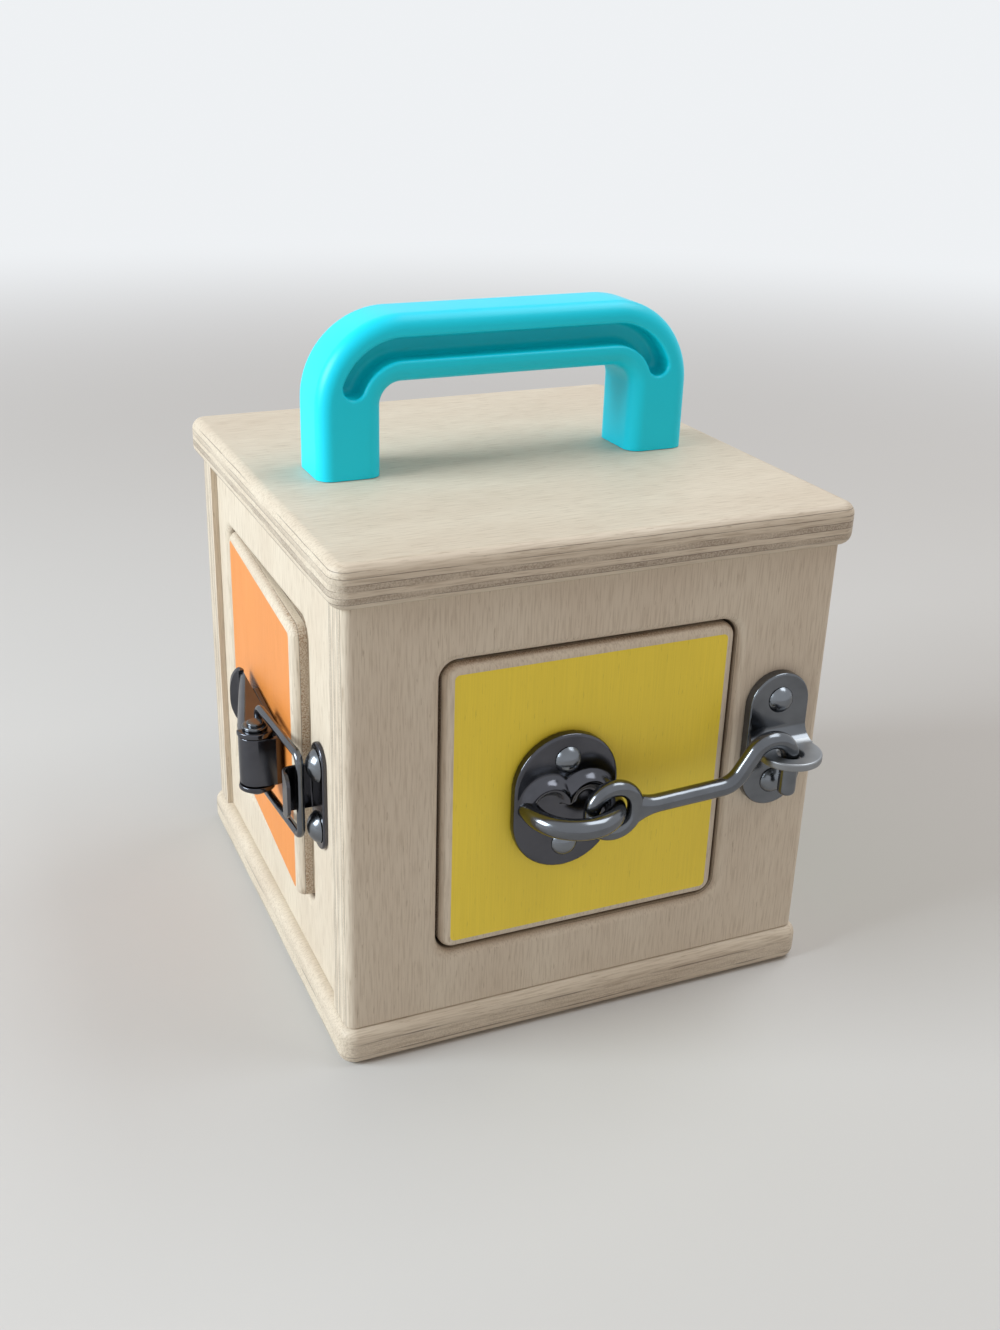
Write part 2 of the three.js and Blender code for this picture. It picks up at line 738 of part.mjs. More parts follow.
function addCabinHook(face, group) {
  group.add(piece('hook_eye_plate', hookEyePlate(), 'nickel'));
  group.add(piece('hook_staple', wire(staplePoints(seatGap + 2 * fit), stapleWire, roundSides), 'nickel'));
  group.add(piece('cabin_hook', cabinHook(), 'nickel'));
  face.add(piece('hook_catch_plate', hookCatchPlate(), 'nickel'));
  addRivets(group, 'hook_eye_plate', eyeRivets, hookPlateThickness);
  addRivets(face, 'hook_catch_plate', catchRivets, hookPlateThickness);
}

// Toggle latch
const togglePinX = openingHalf - toggleInset;
const strikeX = openingHalf + strikeInset;
const toggleRivets = toggleRivetsBack.map((back) => [togglePinX - back, 0]);
const strikeRivets = rivetPair(strikeX, 0, strikeRivetSpacing);
const toggleBore = togglePinDiameter + 2 * fit;
const leverInside = toggleKnuckleHeight / 2 + fit;
const leverOutside = leverInside + leverSheet;
const bailPivotX = togglePinX - bailPivotBack;
const bailPivotZ = togglePinHeight - bailPivotDrop;

function barAlongY(diameter, length, x, z, sides) {
  return roundBar(diameter, length, sides).translate(x, 0, z);
}

// Base plate whose front end is turned up and rolled into a knuckle round the pin
function toggleBase() {
  const roll = (toggleBore + toggleSheet) / 2;
  const plateZ = seatGap + toggleSheet / 2;
  const front = togglePinX + roll;
  const rear = togglePinX - togglePlateLength;
  const riser = bentLine([[rear, plateZ], [front, plateZ], [front, togglePinHeight]], [toggleSheet]);
  const curl = arc(togglePinX, togglePinHeight, roll, 0, toggleRollEnd, rollSteps).slice(1);
  const sheet = bentSheet([...riser, ...curl], toggleSheet, toggleKnuckleHeight);
  const plan = planBlock(2 * togglePlateLength, toggleKnuckleHeight, toggleCorner);
  return cut(overlap(sheet, plan.translate(togglePinX, 0, 0)), ...rivetHoles(toggleRivets));
}

// Blocks that round the thumb tab off to half an oval, standing on the web's level
function tabCorners(tabX, level) {
  const height = leverTabLength * Math.sin(leverTabAngle * degree) + leverTabMargin;
  const oval = arc(0, 0, 1, 0, 90, rollSteps / 2);
  const outline = [
    ...oval.map((point) => point2(leverOutside * point.x, level + height * point.y)),
    point2(0, level + tallBlock),
    point2(tallBlock, level + tallBlock),
    point2(tallBlock, level),
  ];
  const settings = { depth: leverLength, bevelEnabled: false };
  const corner = new THREE.ExtrudeGeometry(new THREE.Shape(outline), settings);
  corner.rotateX(Math.PI / 2).rotateZ(Math.PI / 2).translate(tabX + leverTabMargin - leverLength, 0, 0);
  return [corner, corner.clone().scale(1, -1, 1)];
}

// Lever: a sloping web between two flanges, with a thumb tab turned outward at its end
function toggleLever() {
  const slope = Math.tan(leverSlope * degree);
  const crest = (back) => togglePinHeight + leverEarRadius - back * slope;
  const tip = leverFlangeLength;
  const flange = [
    ...arc(togglePinX, togglePinHeight, leverEarRadius, -90, 90, 2 * cornerSteps),
    point2(togglePinX - tip, crest(tip)),
    point2(togglePinX - tip, crest(tip) - leverFlangeTip),
  ];
  const flangeY = (leverInside + leverOutside) / 2;
  const flanges = [1, -1].map((end) => upright(flange, leverSheet).translate(0, end * flangeY, 0));
  const tabStart = leverLength - leverTabLength * Math.cos(leverTabAngle * degree);
  const middle = (back) => crest(back) - leverSheet / 2;
  const web = bentLine([
    [togglePinX - leverWebStart, middle(leverWebStart)],
    [togglePinX - tabStart, middle(tabStart)],
    [togglePinX - leverLength, middle(tabStart) + leverTabLength * Math.sin(leverTabAngle * degree)],
  ], [leverTabRadius]);
  const corners = tabCorners(togglePinX - tabStart, middle(tabStart));
  const tongue = cut(bentSheet(web, leverSheet, 2 * leverOutside), ...corners);
  const span = 2 * leverOutside + cutMargin;
  const pinBore = barAlongY(toggleBore, span, togglePinX, togglePinHeight, roundSides);
  const bailBore = barAlongY(bailWire + 2 * fit, span, bailPivotX, bailPivotZ, thinSides);
  return cut(join(...flanges, tongue), pinBore, bailBore);
}

function togglePin() {
  const half = leverOutside + seatGap;
  const shank = togglePinDiameter / 2;
  const step = half + togglePinStep;
  const crest = step + togglePinStep;
  const head = [
    point2(togglePinHead / 2, half),
    point2(togglePinHead / 2, step),
    point2(togglePinBoss / 2, step),
    point2(togglePinBoss / 2, crest),
    point2(0, crest),
  ];
  const foot = head.map((point) => point2(point.x, -point.y)).reverse();
  const profile = [...foot, point2(shank, -half), point2(shank, half), ...head];
  return new THREE.LatheGeometry(profile, roundSides).translate(togglePinX, 0, togglePinHeight);
}

// Wire bail: its turned-in ends pivot in the lever's flanges, its far end lies under the strike's hook
function toggleBail() {
  const half = bailHeight / 2;
  const farX = openingHalf + bailOverlap;
  const near = leverInside - 2 * fit;
  const corners = [
    point3(bailPivotX, near, bailPivotZ),
    point3(bailPivotX, half, bailPivotZ),
    point3(farX, half, bailEndHeight),
    point3(farX, -half, bailEndHeight),
    point3(bailPivotX, -half, bailPivotZ),
    point3(bailPivotX, -near, bailPivotZ),
  ];
  return wire(filleted(corners, Array(4).fill(bailCornerRadius)), bailWire, thinSides);
}

// Strike: a plate with a hook standing up on its door side and turned over the wire
function toggleStrike() {
  const plate = flatPlate(strikeWidth, strikeHeight, strikeWidth / 2, strikeThickness);
  const sheet = strikeThickness - 2 * strikeFootGap;
  const rise = openingHalf + strikeHookInset;
  const plateZ = seatGap + strikeThickness / 2;
  const lipZ = strikeHookLift - sheet / 2;
  const route = [[strikeX, plateZ], [rise, plateZ], [rise, lipZ], [rise + strikeHookReach, lipZ]];
  const strip = bentSheet(bentLine(route, [sheet, strikeHookRadius]), sheet, strikeHookHeight);
  const plan = planBlock(2 * strikeHeight, strikeHookHeight, strikeHookCorner);
  const hook = overlap(strip, plan.translate(rise + strikeHookReach - strikeHeight, 0, 0));
  const body = join(plate.translate(strikeX, 0, seatGap), hook.translate(0, strikeHookRise, 0));
  return cut(body, ...rivetHoles(strikeRivets));
}

const atToggleLevel = (places) => places.map(([x, y]) => [x, y + toggleY]);

function latchLevel(parent) {
  const level = new THREE.Group();
  level.position.y = toggleY;
  parent.add(level);
  return level;
}

function addToggleLatch(face, group) {
  const onDoor = latchLevel(group);
  const onWall = latchLevel(face);
  onDoor.add(piece('toggle_base', toggleBase(), 'nickel'));
  onDoor.add(piece('toggle_pivot_pin', togglePin(), 'nickel'));
  onDoor.add(piece('toggle_lever', toggleLever(), 'nickel'));
  onDoor.add(piece('toggle_bail', toggleBail(), 'nickel'));
  onWall.add(piece('toggle_strike', toggleStrike(), 'nickel'));
  ['front', 'back'].forEach((end, i) => {
    onDoor.add(rivetAt(`toggle_base_rivet_${end}`, ...toggleRivets[i], toggleSheet));
  });
  addRivets(onWall, 'toggle_strike', strikeRivets, strikeThickness, strikeRivetHead);
}

// Barrel bolt
const boltPlateX = openingHalf - boltInset;
const keeperX = openingHalf + keeperInset;
const boltGuideSpacing = boltTravel + boltKnobDiameter + 2 * boltKnobMargin + boltGuideWidth;
const boltRivets = rivetPair(boltPlateX, 0, boltRivetSpacing);
const keeperRivets = rivetPair(keeperX, 0, boltRivetSpacing);

// Saddle bent over the bolt, standing on its plate, with its bore along X
function boltSaddle(x, width, play) {
  const inner = boltDiameter / 2 + play;
  const outer = inner + boltGuideSheet;
  const foot = seatGap + boltPlateThickness / 2;
  const outline = [
    point2(outer, foot),
    ...arc(0, boltAxisHeight, outer, 0, 180, 2 * cornerSteps),
    point2(-outer, foot),
    point2(-inner, foot),
    ...arc(0, boltAxisHeight, inner, 180, 0, 2 * cornerSteps),
    point2(inner, foot),
  ];
  return upright(outline, width).rotateZ(Math.PI / 2).translate(x, 0, 0);
}

function boltPlate() {
  const plate = flatPlate(boltPlateLength, boltPlateHeight, boltPlateCorner, boltPlateThickness);
  const guides = [-1, 1].map((end) => {
    return boltSaddle(boltPlateX + (end * boltGuideSpacing) / 2, boltGuideWidth, fit);
  });
  return cut(join(plate.translate(boltPlateX, 0, seatGap), ...guides), ...rivetHoles(boltRivets));
}

function boltKeeper() {
  const plate = flatPlate(keeperLength, boltPlateHeight, boltPlateCorner, boltPlateThickness);
  const saddle = boltSaddle(keeperX, keeperSaddle, keeperPlay);
  const body = join(plate.translate(keeperX, 0, seatGap), saddle);
  return cut(body, ...rivetHoles(keeperRivets));
}

// Bolt drawn back inside the door's edge, its knob against the rear guide
function slideBolt() {
  const radius = boltDiameter / 2;
  const rear = boltPlateX - boltRearReach;
  const tip = openingHalf - boltTipInset;
  const nose = arc(radius - boltTipRadius, tip - boltTipRadius, boltTipRadius, 0, 90, edgeSteps);
  const rod = [point2(0, rear), point2(radius, rear), ...nose, point2(0, tip)];
  const knobX = boltPlateX - boltTravel / 2;
  const stem = boltKnobStem / 2;
  const crown = boltKnobHeight - boltKnobDiameter / 2;
  const neck = Math.acos(boltKnobStem / boltKnobDiameter) / degree;
  const ball = arc(0, crown, boltKnobDiameter / 2, -neck, 90, 2 * edgeSteps);
  const knob = turned([point2(0, 0), point2(stem, 0), ...ball], roundSides);
  const bar = new THREE.LatheGeometry(rod, roundSides).rotateZ(-Math.PI / 2).translate(0, 0, boltAxisHeight);
  return join(bar, knob.translate(knobX, 0, boltAxisHeight));
}

function addBarrelBolt(face, group) {
  group.add(piece('bolt_plate', boltPlate(), 'nickel'));
  group.add(piece('slide_bolt', slideBolt(), 'nickel'));
  face.add(piece('bolt_keeper', boltKeeper(), 'nickel'));
  addRivets(group, 'bolt_plate', boltRivets, boltPlateThickness);
  addRivets(face, 'bolt_keeper', keeperRivets, boltPlateThickness);
}

// Swivel hasp
const haspPinX = openingHalf - haspInset;
const haspBore = haspPinDiameter + 2 * fit;
const haspRoll = (haspBore + haspSheet) / 2;
const haspPinZ = seatGap + haspSheet / 2 + haspRoll;
const haspStrapZ = haspPinZ + haspRoll;
const stapleX = openingHalf + stapleInset;
const haspRivets = rivetPair(haspPinX - haspRivetX, 0, haspRivetSpacing);
const staplePlateRivetPlaces = rivetPair(stapleX, 0, staplePlateRivets);

// Leaf on the door, rolled over the pin at its two ends
function haspLeaf() {
  const plateZ = seatGap + haspSheet / 2;
  const plateEnd = haspPinX - haspRoll - haspSheet / 2 - fit;
  const rear = plateEnd - haspLeafLength;
  const curl = arc(haspPinX, haspPinZ, haspRoll, -90, haspRollSweep - 90, rollSteps);
  const sheet = bentSheet([point2(rear, plateZ), ...curl], haspSheet, haspHeight);
  const plan = planBlock(4 * haspLeafLength, haspHeight, haspLeafCorner);
  const notch = new THREE.BoxGeometry(haspLeafLength, haspKnuckle + 2 * fit, tallBlock);
  const body = overlap(sheet, plan.translate(rear + 2 * haspLeafLength, 0, 0));
  return cut(body, notch.translate(plateEnd + haspLeafLength / 2, 0, 0), ...rivetHoles(haspRivets));
}

// Strap swinging on the pin and reaching over the staple, with a slot for its knob
function haspStrap() {
  const start = haspPinX + haspStrapGap;
  const end = stapleX + haspStrapEnd;
  const length = end - start;
  const curl = arc(haspPinX, haspPinZ, haspRoll, 90, 90 + haspRollSweep, rollSteps);
  const sheet = bentSheet([point2(end, haspStrapZ), ...curl], haspSheet, haspHeight);
  const plan = planBlock(4 * length, haspHeight, haspEndRadius).translate(end - 2 * length, 0, 0);
  const notches = endNotches(haspKnuckle, length).map((notch) => notch.translate(start - length / 2, 0, 0));
  const slot = planBlock(haspSlotWidth, haspSlotHeight, haspSlotWidth / 2).translate(stapleX, 0, 0);
  return cut(overlap(sheet, plan), ...notches, slot);
}

function haspPin() {
  const half = haspHeight / 2 + seatGap;
  const shank = haspPinDiameter / 2;
  const dome = domeProfile(haspPinHead, haspPinHeadHeight, half);
  const foot = dome.map((point) => point2(point.x, -point.y)).reverse();
  const profile = [...foot, point2(shank, -half), point2(shank, half), ...dome];
  return new THREE.LatheGeometry(profile, roundSides).translate(haspPinX, 0, haspPinZ);
}

function knobSpindleHole() {
  const crest = staplePlateThickness + cutMargin;
  return drill(knobSpindleDiameter + 2 * fit, stapleX, 0, -knobSpindleGrip - fit, crest);
}

function haspStaplePlate() {
  const plate = flatPlate(staplePlateWidth, staplePlateHeight, staplePlateWidth / 2, staplePlateThickness);
  return cut(plate.translate(stapleX, 0, seatGap), knobSpindleHole(), ...rivetHoles(staplePlateRivetPlaces));
}

// Thumb bar on a post; at rest the bar is in line with the strap's slot
function haspKnob() {
  const foot = staplePlateThickness + 2 * seatGap;
  const barZ = haspStrapZ + haspSheet / 2 + knobBarGap;
  const rows = edgeRows(knobBarThickness, knobEdgeRadius, knobEdgeRadius);
  const bar = slab(knobBarWidth, knobBarLength, knobBarWidth / 2, rows).translate(stapleX, 0, barZ);
  const post = drill(knobPostDiameter, stapleX, 0, foot, barZ + knobEdgeRadius);
  return join(bar, post, drill(knobSpindleDiameter, stapleX, 0, -knobSpindleGrip, foot + cutMargin));
}

function addSwivelHasp(face, group) {
  group.add(piece('hasp_leaf', haspLeaf(), 'nickel'));
  group.add(piece('hasp_strap', haspStrap(), 'nickel'));
  group.add(piece('hasp_pin', haspPin(), 'nickel'));
  face.add(piece('hasp_staple_plate', haspStaplePlate(), 'nickel'));
  face.add(piece('hasp_turn_knob', haspKnob(), 'nickel'));
  addRivets(group, 'hasp_leaf', haspRivets, haspSheet);
  addRivets(face, 'hasp_staple_plate', staplePlateRivetPlaces, staplePlateThickness);
}

// The four sides, each with its wall, door and latch
const frontDistance = boxDepth / 2;
const sideDistance = frontWidth / 2 - sideRecess;
const sidePanelWidth = sideWidth - 2 * glueLine;

const frontFace = faceFrame(0, frontDistance, frontShift);
const frontDoor = doorFrame(frontFace, 0);
wall('front_panel', frontFace, frontWidth, frontShift, panelCornerRadius, rivetHoles(catchRivets));
door('front', frontFace, frontDoor, 'yellow', eyeRivets);
addCabinHook(frontFace, frontDoor);

const leftFace = faceFrame(-90, sideDistance, sideShift);
const leftDoor = doorFrame(leftFace, leftDoorAjar);
wall('left_panel', leftFace, sidePanelWidth, sideShift, 0, rivetHoles(atToggleLevel(strikeRivets)));
door('left', leftFace, leftDoor, 'orange', atToggleLevel(toggleRivets));
addToggleLatch(leftFace, leftDoor);

const rightFace = faceFrame(90, sideDistance, sideShift);
const rightDoor = doorFrame(rightFace, 0);
wall('right_panel', rightFace, sidePanelWidth, sideShift, 0, rivetHoles(keeperRivets));
door('right', rightFace, rightDoor, 'green', boltRivets);
addBarrelBolt(rightFace, rightDoor);

const backFace = faceFrame(180, frontDistance, frontShift);
const backDoor = doorFrame(backFace, 0);
const backHoles = [...rivetHoles(staplePlateRivetPlaces), knobSpindleHole()];
wall('back_panel', backFace, frontWidth, frontShift, panelCornerRadius, backHoles);
door('back', backFace, backDoor, 'blue', haspRivets);
addSwivelHasp(backFace, backDoor);

export default box;
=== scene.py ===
# Looks of the lock box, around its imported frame: finer meshes for the pieces that show, and their finishes.
# Pieces are drawn in millimetres in a face frame: X right, Y up, Z outward, seen from outside a wall, with
# its origin in the middle of the door opening on the wall's outer face.
import json
import math

import bmesh
import bpy
from mathutils import Matrix, Vector


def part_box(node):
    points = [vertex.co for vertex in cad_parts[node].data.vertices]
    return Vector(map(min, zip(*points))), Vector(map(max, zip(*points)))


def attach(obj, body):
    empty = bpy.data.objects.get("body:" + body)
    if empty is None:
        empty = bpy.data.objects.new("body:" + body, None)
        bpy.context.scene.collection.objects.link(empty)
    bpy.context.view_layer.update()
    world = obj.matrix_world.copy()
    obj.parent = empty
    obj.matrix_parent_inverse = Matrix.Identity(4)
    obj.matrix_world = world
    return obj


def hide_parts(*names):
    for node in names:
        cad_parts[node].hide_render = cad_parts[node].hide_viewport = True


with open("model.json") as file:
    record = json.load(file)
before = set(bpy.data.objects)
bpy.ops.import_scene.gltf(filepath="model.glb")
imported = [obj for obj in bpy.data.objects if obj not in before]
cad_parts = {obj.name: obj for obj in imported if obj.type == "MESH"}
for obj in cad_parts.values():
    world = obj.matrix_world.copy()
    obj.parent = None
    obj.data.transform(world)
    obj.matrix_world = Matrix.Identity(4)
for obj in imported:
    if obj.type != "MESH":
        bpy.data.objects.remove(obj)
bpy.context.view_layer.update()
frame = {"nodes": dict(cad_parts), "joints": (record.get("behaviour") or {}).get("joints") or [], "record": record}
nodes = frame["nodes"]
joints = {joint["name"]: joint for joint in frame["joints"]}
bodies = frame["record"]["behaviour"]["bodies"]
body_of = {node: body for body, members in bodies.items() for node in members}

# Scale, clearances and facets
MM = 0.001
TINY = 1e-4
MARGIN = 1
TALL = 40
SEAT = 0.2
FIT = 0.3
CORNER_STEPS = 10
EDGE_STEPS = 6
ROLL_STEPS = 40
BEND_STEP = math.radians(6)
WIRE_SIDES = 28
TURN_SIDES = 48
SHARP_ANGLE = math.radians(36)
WIRE_TIP = 0.6
SMOOTHING = 0.5
BUMP = 0.0001

# Plywood carcass and doors
PANEL = 12
BOARD_CORNER = 5
BOARD_EDGE = 3.5
PANEL_EDGE = 3
OPENING_EDGE = 3
DOOR = 89.5
DOOR_GAP = 0.75
DOOR_CORNER = 4.5
DOOR_EDGE = 3
DOOR_BACK = 1
HINGE_X = 6 - DOOR / 2
HINGE_DEPTH = 4.8
LEFT_AJAR = 2.9
OPENING = DOOR + 2 * DOOR_GAP
JAMB = OPENING / 2
FACE_TURNS = {"front": 0, "left": -90, "right": 90, "back": 180}

# Handle
HANDLE_LENGTH = 120
HANDLE_HEIGHT = 46.5
HANDLE_DEPTH = 22
HANDLE_BAR = 19.5
HANDLE_CORNER = 26
HANDLE_EDGE = 4.5
HANDLE_STEPS = 20
BEND_X = HANDLE_LENGTH / 2 - HANDLE_CORNER
BEND_Y = HANDLE_HEIGHT - HANDLE_CORNER
GROOVE_WIDTH = 6.6
GROOVE_DEPTH = 8
GROOVE_END = 22
GROOVE_FLOOR = 2.2
GROOVE_RIM = 1.0

# Rivets
RIVET_HEAD = 8
RIVET_HEIGHT = 2.4
RIVET_SHANK = 3.2
RIVET_GRIP = 6

# Cabin hook
HOOK_PLATE = 3
PLATE_EDGE = 0.8
HOOK_RIVETS = 26.4
EYE_PLATE = (32, 42)
EYE_X, EYE_Y = -8.6, -0.75
RIDGE_HEIGHT = 2.8
RIDGE_REACH = 3.3
STAPLE_WIRE = 6
STAPLE_SPAN = 24
STAPLE_LEG = 7
HOOK_WIRE = 5.3
HOOK_EYE_WIRE = 4.8
HOOK_EYE = 13.8
HOOK_EYE_SLACK = (-0.6, -0.3)
HOOK_STAND_OFF = 11.8
HOOK_SHANK_ANGLE = math.radians(2.5)
HOOK_SHANK_DROP = 1
HOOK_RISE_ANGLE = math.radians(56)
HOOK_BEND = 8
HOOK_CURL = 6.8
HOOK_CURL_DROP = 0.2
HOOK_TIP_DROP = 11
HOOK_TIP_ROUND = 1.6
NECK_START = -0.7
NECK_LENGTH = 8
NECK_FLARE = 2.9
FORGED = {"voxel": 0.25, "rounds": 8}
PRESSED = {"voxel": 0.4, "rounds": 5}
CATCH_PLATE = (20, 43)
CATCH_X = JAMB + 14.4
CATCH_Y = 6.3
HOOK_TIP_X = CATCH_X - 0.9
LUG_WIDTH = 19
LUG_REACH = 19.5
LUG_SHEET = 2.4
LUG_Y = CATCH_Y - 1.1
LUG_HOLE = (7.4, 7)
LUG_FILLET = 5

# Toggle latch
TOGGLE_Y = -2.3
TOGGLE_X = JAMB - 17
TOGGLE_Z = 7.9
TOGGLE_PIN = 6
TOGGLE_HEAD = ((7.6, 0.9), (4.8, 0.9))
TOGGLE_SHEET = 1.8
TOGGLE_ROLL = (TOGGLE_PIN + 2 * FIT + TOGGLE_SHEET) / 2
TOGGLE_PLATE = 34
TOGGLE_KNUCKLE = 15.6
TOGGLE_ROLL_END = 285
TOGGLE_CORNER = 4
TOGGLE_RIVETS = {"front": 12, "back": 26}
LEVER_SHEET = 1.6
LEVER_EAR = 5.5
LEVER_LENGTH = 45
LEVER_SLOPE = math.tan(math.radians(12.5))
LEVER_FLANGE = 41
LEVER_FLANGE_TIP = 1.4
LEVER_WEB = 8
LEVER_TAB = 4
LEVER_TAB_MARGIN = 0.4
LEVER_TAB_ANGLE = math.radians(65)
LEVER_TAB_BEND = 2
LEVER_BEND = 2.5
LEVER_INSIDE = TOGGLE_KNUCKLE / 2 + FIT
LEVER_OUTSIDE = LEVER_INSIDE + LEVER_SHEET
BAIL_WIRE = 2.4
BAIL_X = TOGGLE_X - 7.5
BAIL_Z = TOGGLE_Z - 2.6
BAIL_HEIGHT = 26
BAIL_CORNER = 3
BAIL_END_X = JAMB + 10.93
BAIL_END_Z = 1.19
STRIKE_SHEET = 1.2
STRIKE_PLATE = (11, 33.5)
STRIKE_X = JAMB + 11.5
STRIKE_RIVETS = 19.8
STRIKE_RIVET_HEAD = 9.6
STRIKE_HOOK_HEIGHT = 14.4
STRIKE_HOOK_RISE = 1
STRIKE_HOOK_CORNER = 4
STRIKE_HOOK_LIFT = 10.5
STRIKE_HOOK_REACH = 6.8
STRIKE_HOOK_BEND = 2.4
STRIKE_HOOK_X = JAMB + 6.2
STRIKE_FOOT_GAP = 0.1

# Barrel bolt
BOLT = 7
BOLT_TRAVEL = 13
BOLT_Z = 6.2
BOLT_X = JAMB - 26
BOLT_PLATE = (36, 30)
BOLT_SHEET = 1.5
BOLT_CORNER = 4
BOLT_GUIDE_SHEET = 1.6
BOLT_GUIDE = 6
BOLT_KNOB = 6
BOLT_KNOB_STEM = 4
BOLT_KNOB_HEIGHT = 8.5
BOLT_KNOB_NECK = -48
BOLT_GUIDES = BOLT_TRAVEL + BOLT_KNOB + 1 + BOLT_GUIDE
BOLT_REAR = 17
BOLT_TIP_INSET = 1.5
BOLT_TIP = 1.5
BOLT_RIVETS = 21
KEEPER_X = JAMB + 11
KEEPER_LENGTH = 14
KEEPER_SADDLE = 8
KEEPER_PLAY = 1

# Swivel hasp
HASP_SHEET = 1.6
HASP_X = JAMB - 25.5
HASP_PIN = 3
HASP_PIN_HEAD = ((4.6, 0.5), (3.4, 0.5))
HASP_ROLL = (HASP_PIN + 2 * FIT + HASP_SHEET) / 2
HASP_Z = SEAT + HASP_SHEET / 2 + HASP_ROLL
HASP_STRAP_Z = HASP_Z + HASP_ROLL
HASP_LEAF = 17
HASP_HEIGHT = 24
HASP_CORNER = 4
HASP_KNUCKLE = 11
HASP_SWEEP = 290
HASP_RIVETS = 13
HASP_RIVET_X = HASP_X - 9.5
HASP_STRAP_GAP = 4
HASP_STRAP_END = 12
HASP_END = 9
HASP_SLOT = (9.6, 19)
STAPLE_PLATE_X = JAMB + 11.5
STAPLE_PLATE = (18, 41)
STAPLE_PLATE_SHEET = 1.6
STAPLE_PLATE_RIVETS = 31
KNOB_POST = 6
KNOB_BAR = (6, 16, 5)
KNOB_BAR_GAP = 1
KNOB_EDGE = 1

SHEET_EDGE = 0.35


# Plane outlines
def arc(x, y, radius, start, end, steps):
    angles = [math.radians(start + (end - start) * i / steps) for i in range(steps + 1)]
    return [(x + radius * math.cos(a), y + radius * math.sin(a)) for a in angles]


def circle(sides):
    """Cosine and sine at even steps round a full turn."""
    angles = [2 * math.pi * k / sides for k in range(sides)]
    return [(math.cos(a), math.sin(a)) for a in angles]


def rounded_rectangle(width, height, radius):
    x, y = width / 2 - radius, height / 2 - radius
    corners = [(x, -y, -90), (x, y, 0), (-x, y, 90), (-x, -y, 180)]
    if radius < TINY:
        return [(cx, cy) for cx, cy, _ in corners]
    return [p for cx, cy, start in corners for p in arc(cx, cy, radius, start, start + 90, CORNER_STEPS)]


def grown(outline, growth):
    """The outline moved outward along its mitred normals, or inward where growth is negative."""
    outline = [p for i, p in enumerate(outline) if math.dist(p, outline[i - 1]) > TINY]
    count = len(outline)
    area = sum(a[0] * b[1] - b[0] * a[1] for a, b in zip(outline, outline[1:] + outline[:1]))
    turn = math.copysign(1, area)
    offset = []
    for i, point in enumerate(outline):
        here = Vector(point)
        before = (here - Vector(outline[i - 1])).normalized()
        after = (Vector(outline[(i + 1) % count]) - here).normalized()
        first = Vector((before.y, -before.x)) * turn
        second = Vector((after.y, -after.x)) * turn
        offset.append(tuple(here + (first + second) * (growth / (1 + first.dot(second)))))
    return offset


def edge_rows(thickness, back, front):
    """Growth and level through a thickness whose back and front edges are rounded over."""
    rows = arc(-back, back, back, -90, 0, EDGE_STEPS) if back else [(0, 0)]
    top = thickness - front
    return rows + (arc(-front, top, front, 0, 90, EDGE_STEPS) if front else [(0, thickness)])


def heading(angle):
    return Vector((math.cos(angle), math.sin(angle)))


def left_of(along):
    return Vector((-along.y, along.x))


# Closed solids, each a list of points and a list of faces
def loft(rings):
    count = len(rings[0])
    points = [tuple(point) for ring in rings for point in ring]
    faces = []
    for base in range(0, len(points) - count, count):
        for i in range(count):
            j = (i + 1) % count
            faces.append((base + i, base + j, base + count + j, base + count + i))
    faces.append(tuple(reversed(range(count))))
    faces.append(tuple(range(len(points) - count, len(points))))
    return points, faces


def slab(width, height, radius, rows):
    """Plate in the XY plane with rounded corners, rising along Z through its rows."""
    rings = []
    for growth, level in rows:
        outline = rounded_rectangle(width + 2 * growth, height + 2 * growth, max(radius + growth, 0))
        rings.append([(x, y, level) for x, y in outline])
    return loft(rings)


def prism(outline, rows):
    """Outline in X and Y, rising along Z through its rows."""
    return loft([[(x, y, level) for x, y in grown(outline, growth)] for growth, level in rows])


def upright(outline, depth, edge=SHEET_EDGE):
    """Outline in X and Z, centred along Y, with its two rims rounded over."""
    lying = prism(outline, edge_rows(depth, edge, edge))
    return mapped(lying, lambda x, z, y: (x, y - depth / 2, z))


def bent_sheet(line, thickness, width):
    """Sheet metal bent along a line in X and Z."""
    line = [Vector(point) for point in line]
    left, right = [], []
    for i, point in enumerate(line):
        along = (line[min(i + 1, len(line) - 1)] - line[max(i - 1, 0)]).normalized()
        half = left_of(along) * (thickness / 2)
        left.append(tuple(point + half))
        right.append(tuple(point - half))
    return upright(left + right[::-1], width)


def filleted(corners, radii):
    """Route through the corners given, with each inner corner rounded."""
    corners = [Vector(corner) for corner in corners]
    route = [corners[0]]
    for i in range(1, len(corners) - 1):
        corner, radius = corners[i], radii[i - 1]
        before = (corners[i - 1] - corner).normalized()
        after = (corners[i + 1] - corner).normalized()
        turn = math.pi - before.angle(after)
        inward = (before + after).normalized()
        along = (after - before).normalized()
        centre = corner + inward * (radius / math.cos(turn / 2))
        steps = max(2, round(turn / BEND_STEP))
        for k in range(steps + 1):
            angle = turn * (k / steps - 0.5)
            route.append(centre - inward * (radius * math.cos(angle)) + along * (radius * math.sin(angle)))
    route.append(corners[-1])
    return [p for i, p in enumerate(route) if i == 0 or (p - route[i - 1]).length > TINY]


def bent_line(corners, radii):
    return [(p.x, p.y) for p in filleted([(x, y, 0) for x, y in corners], radii)]


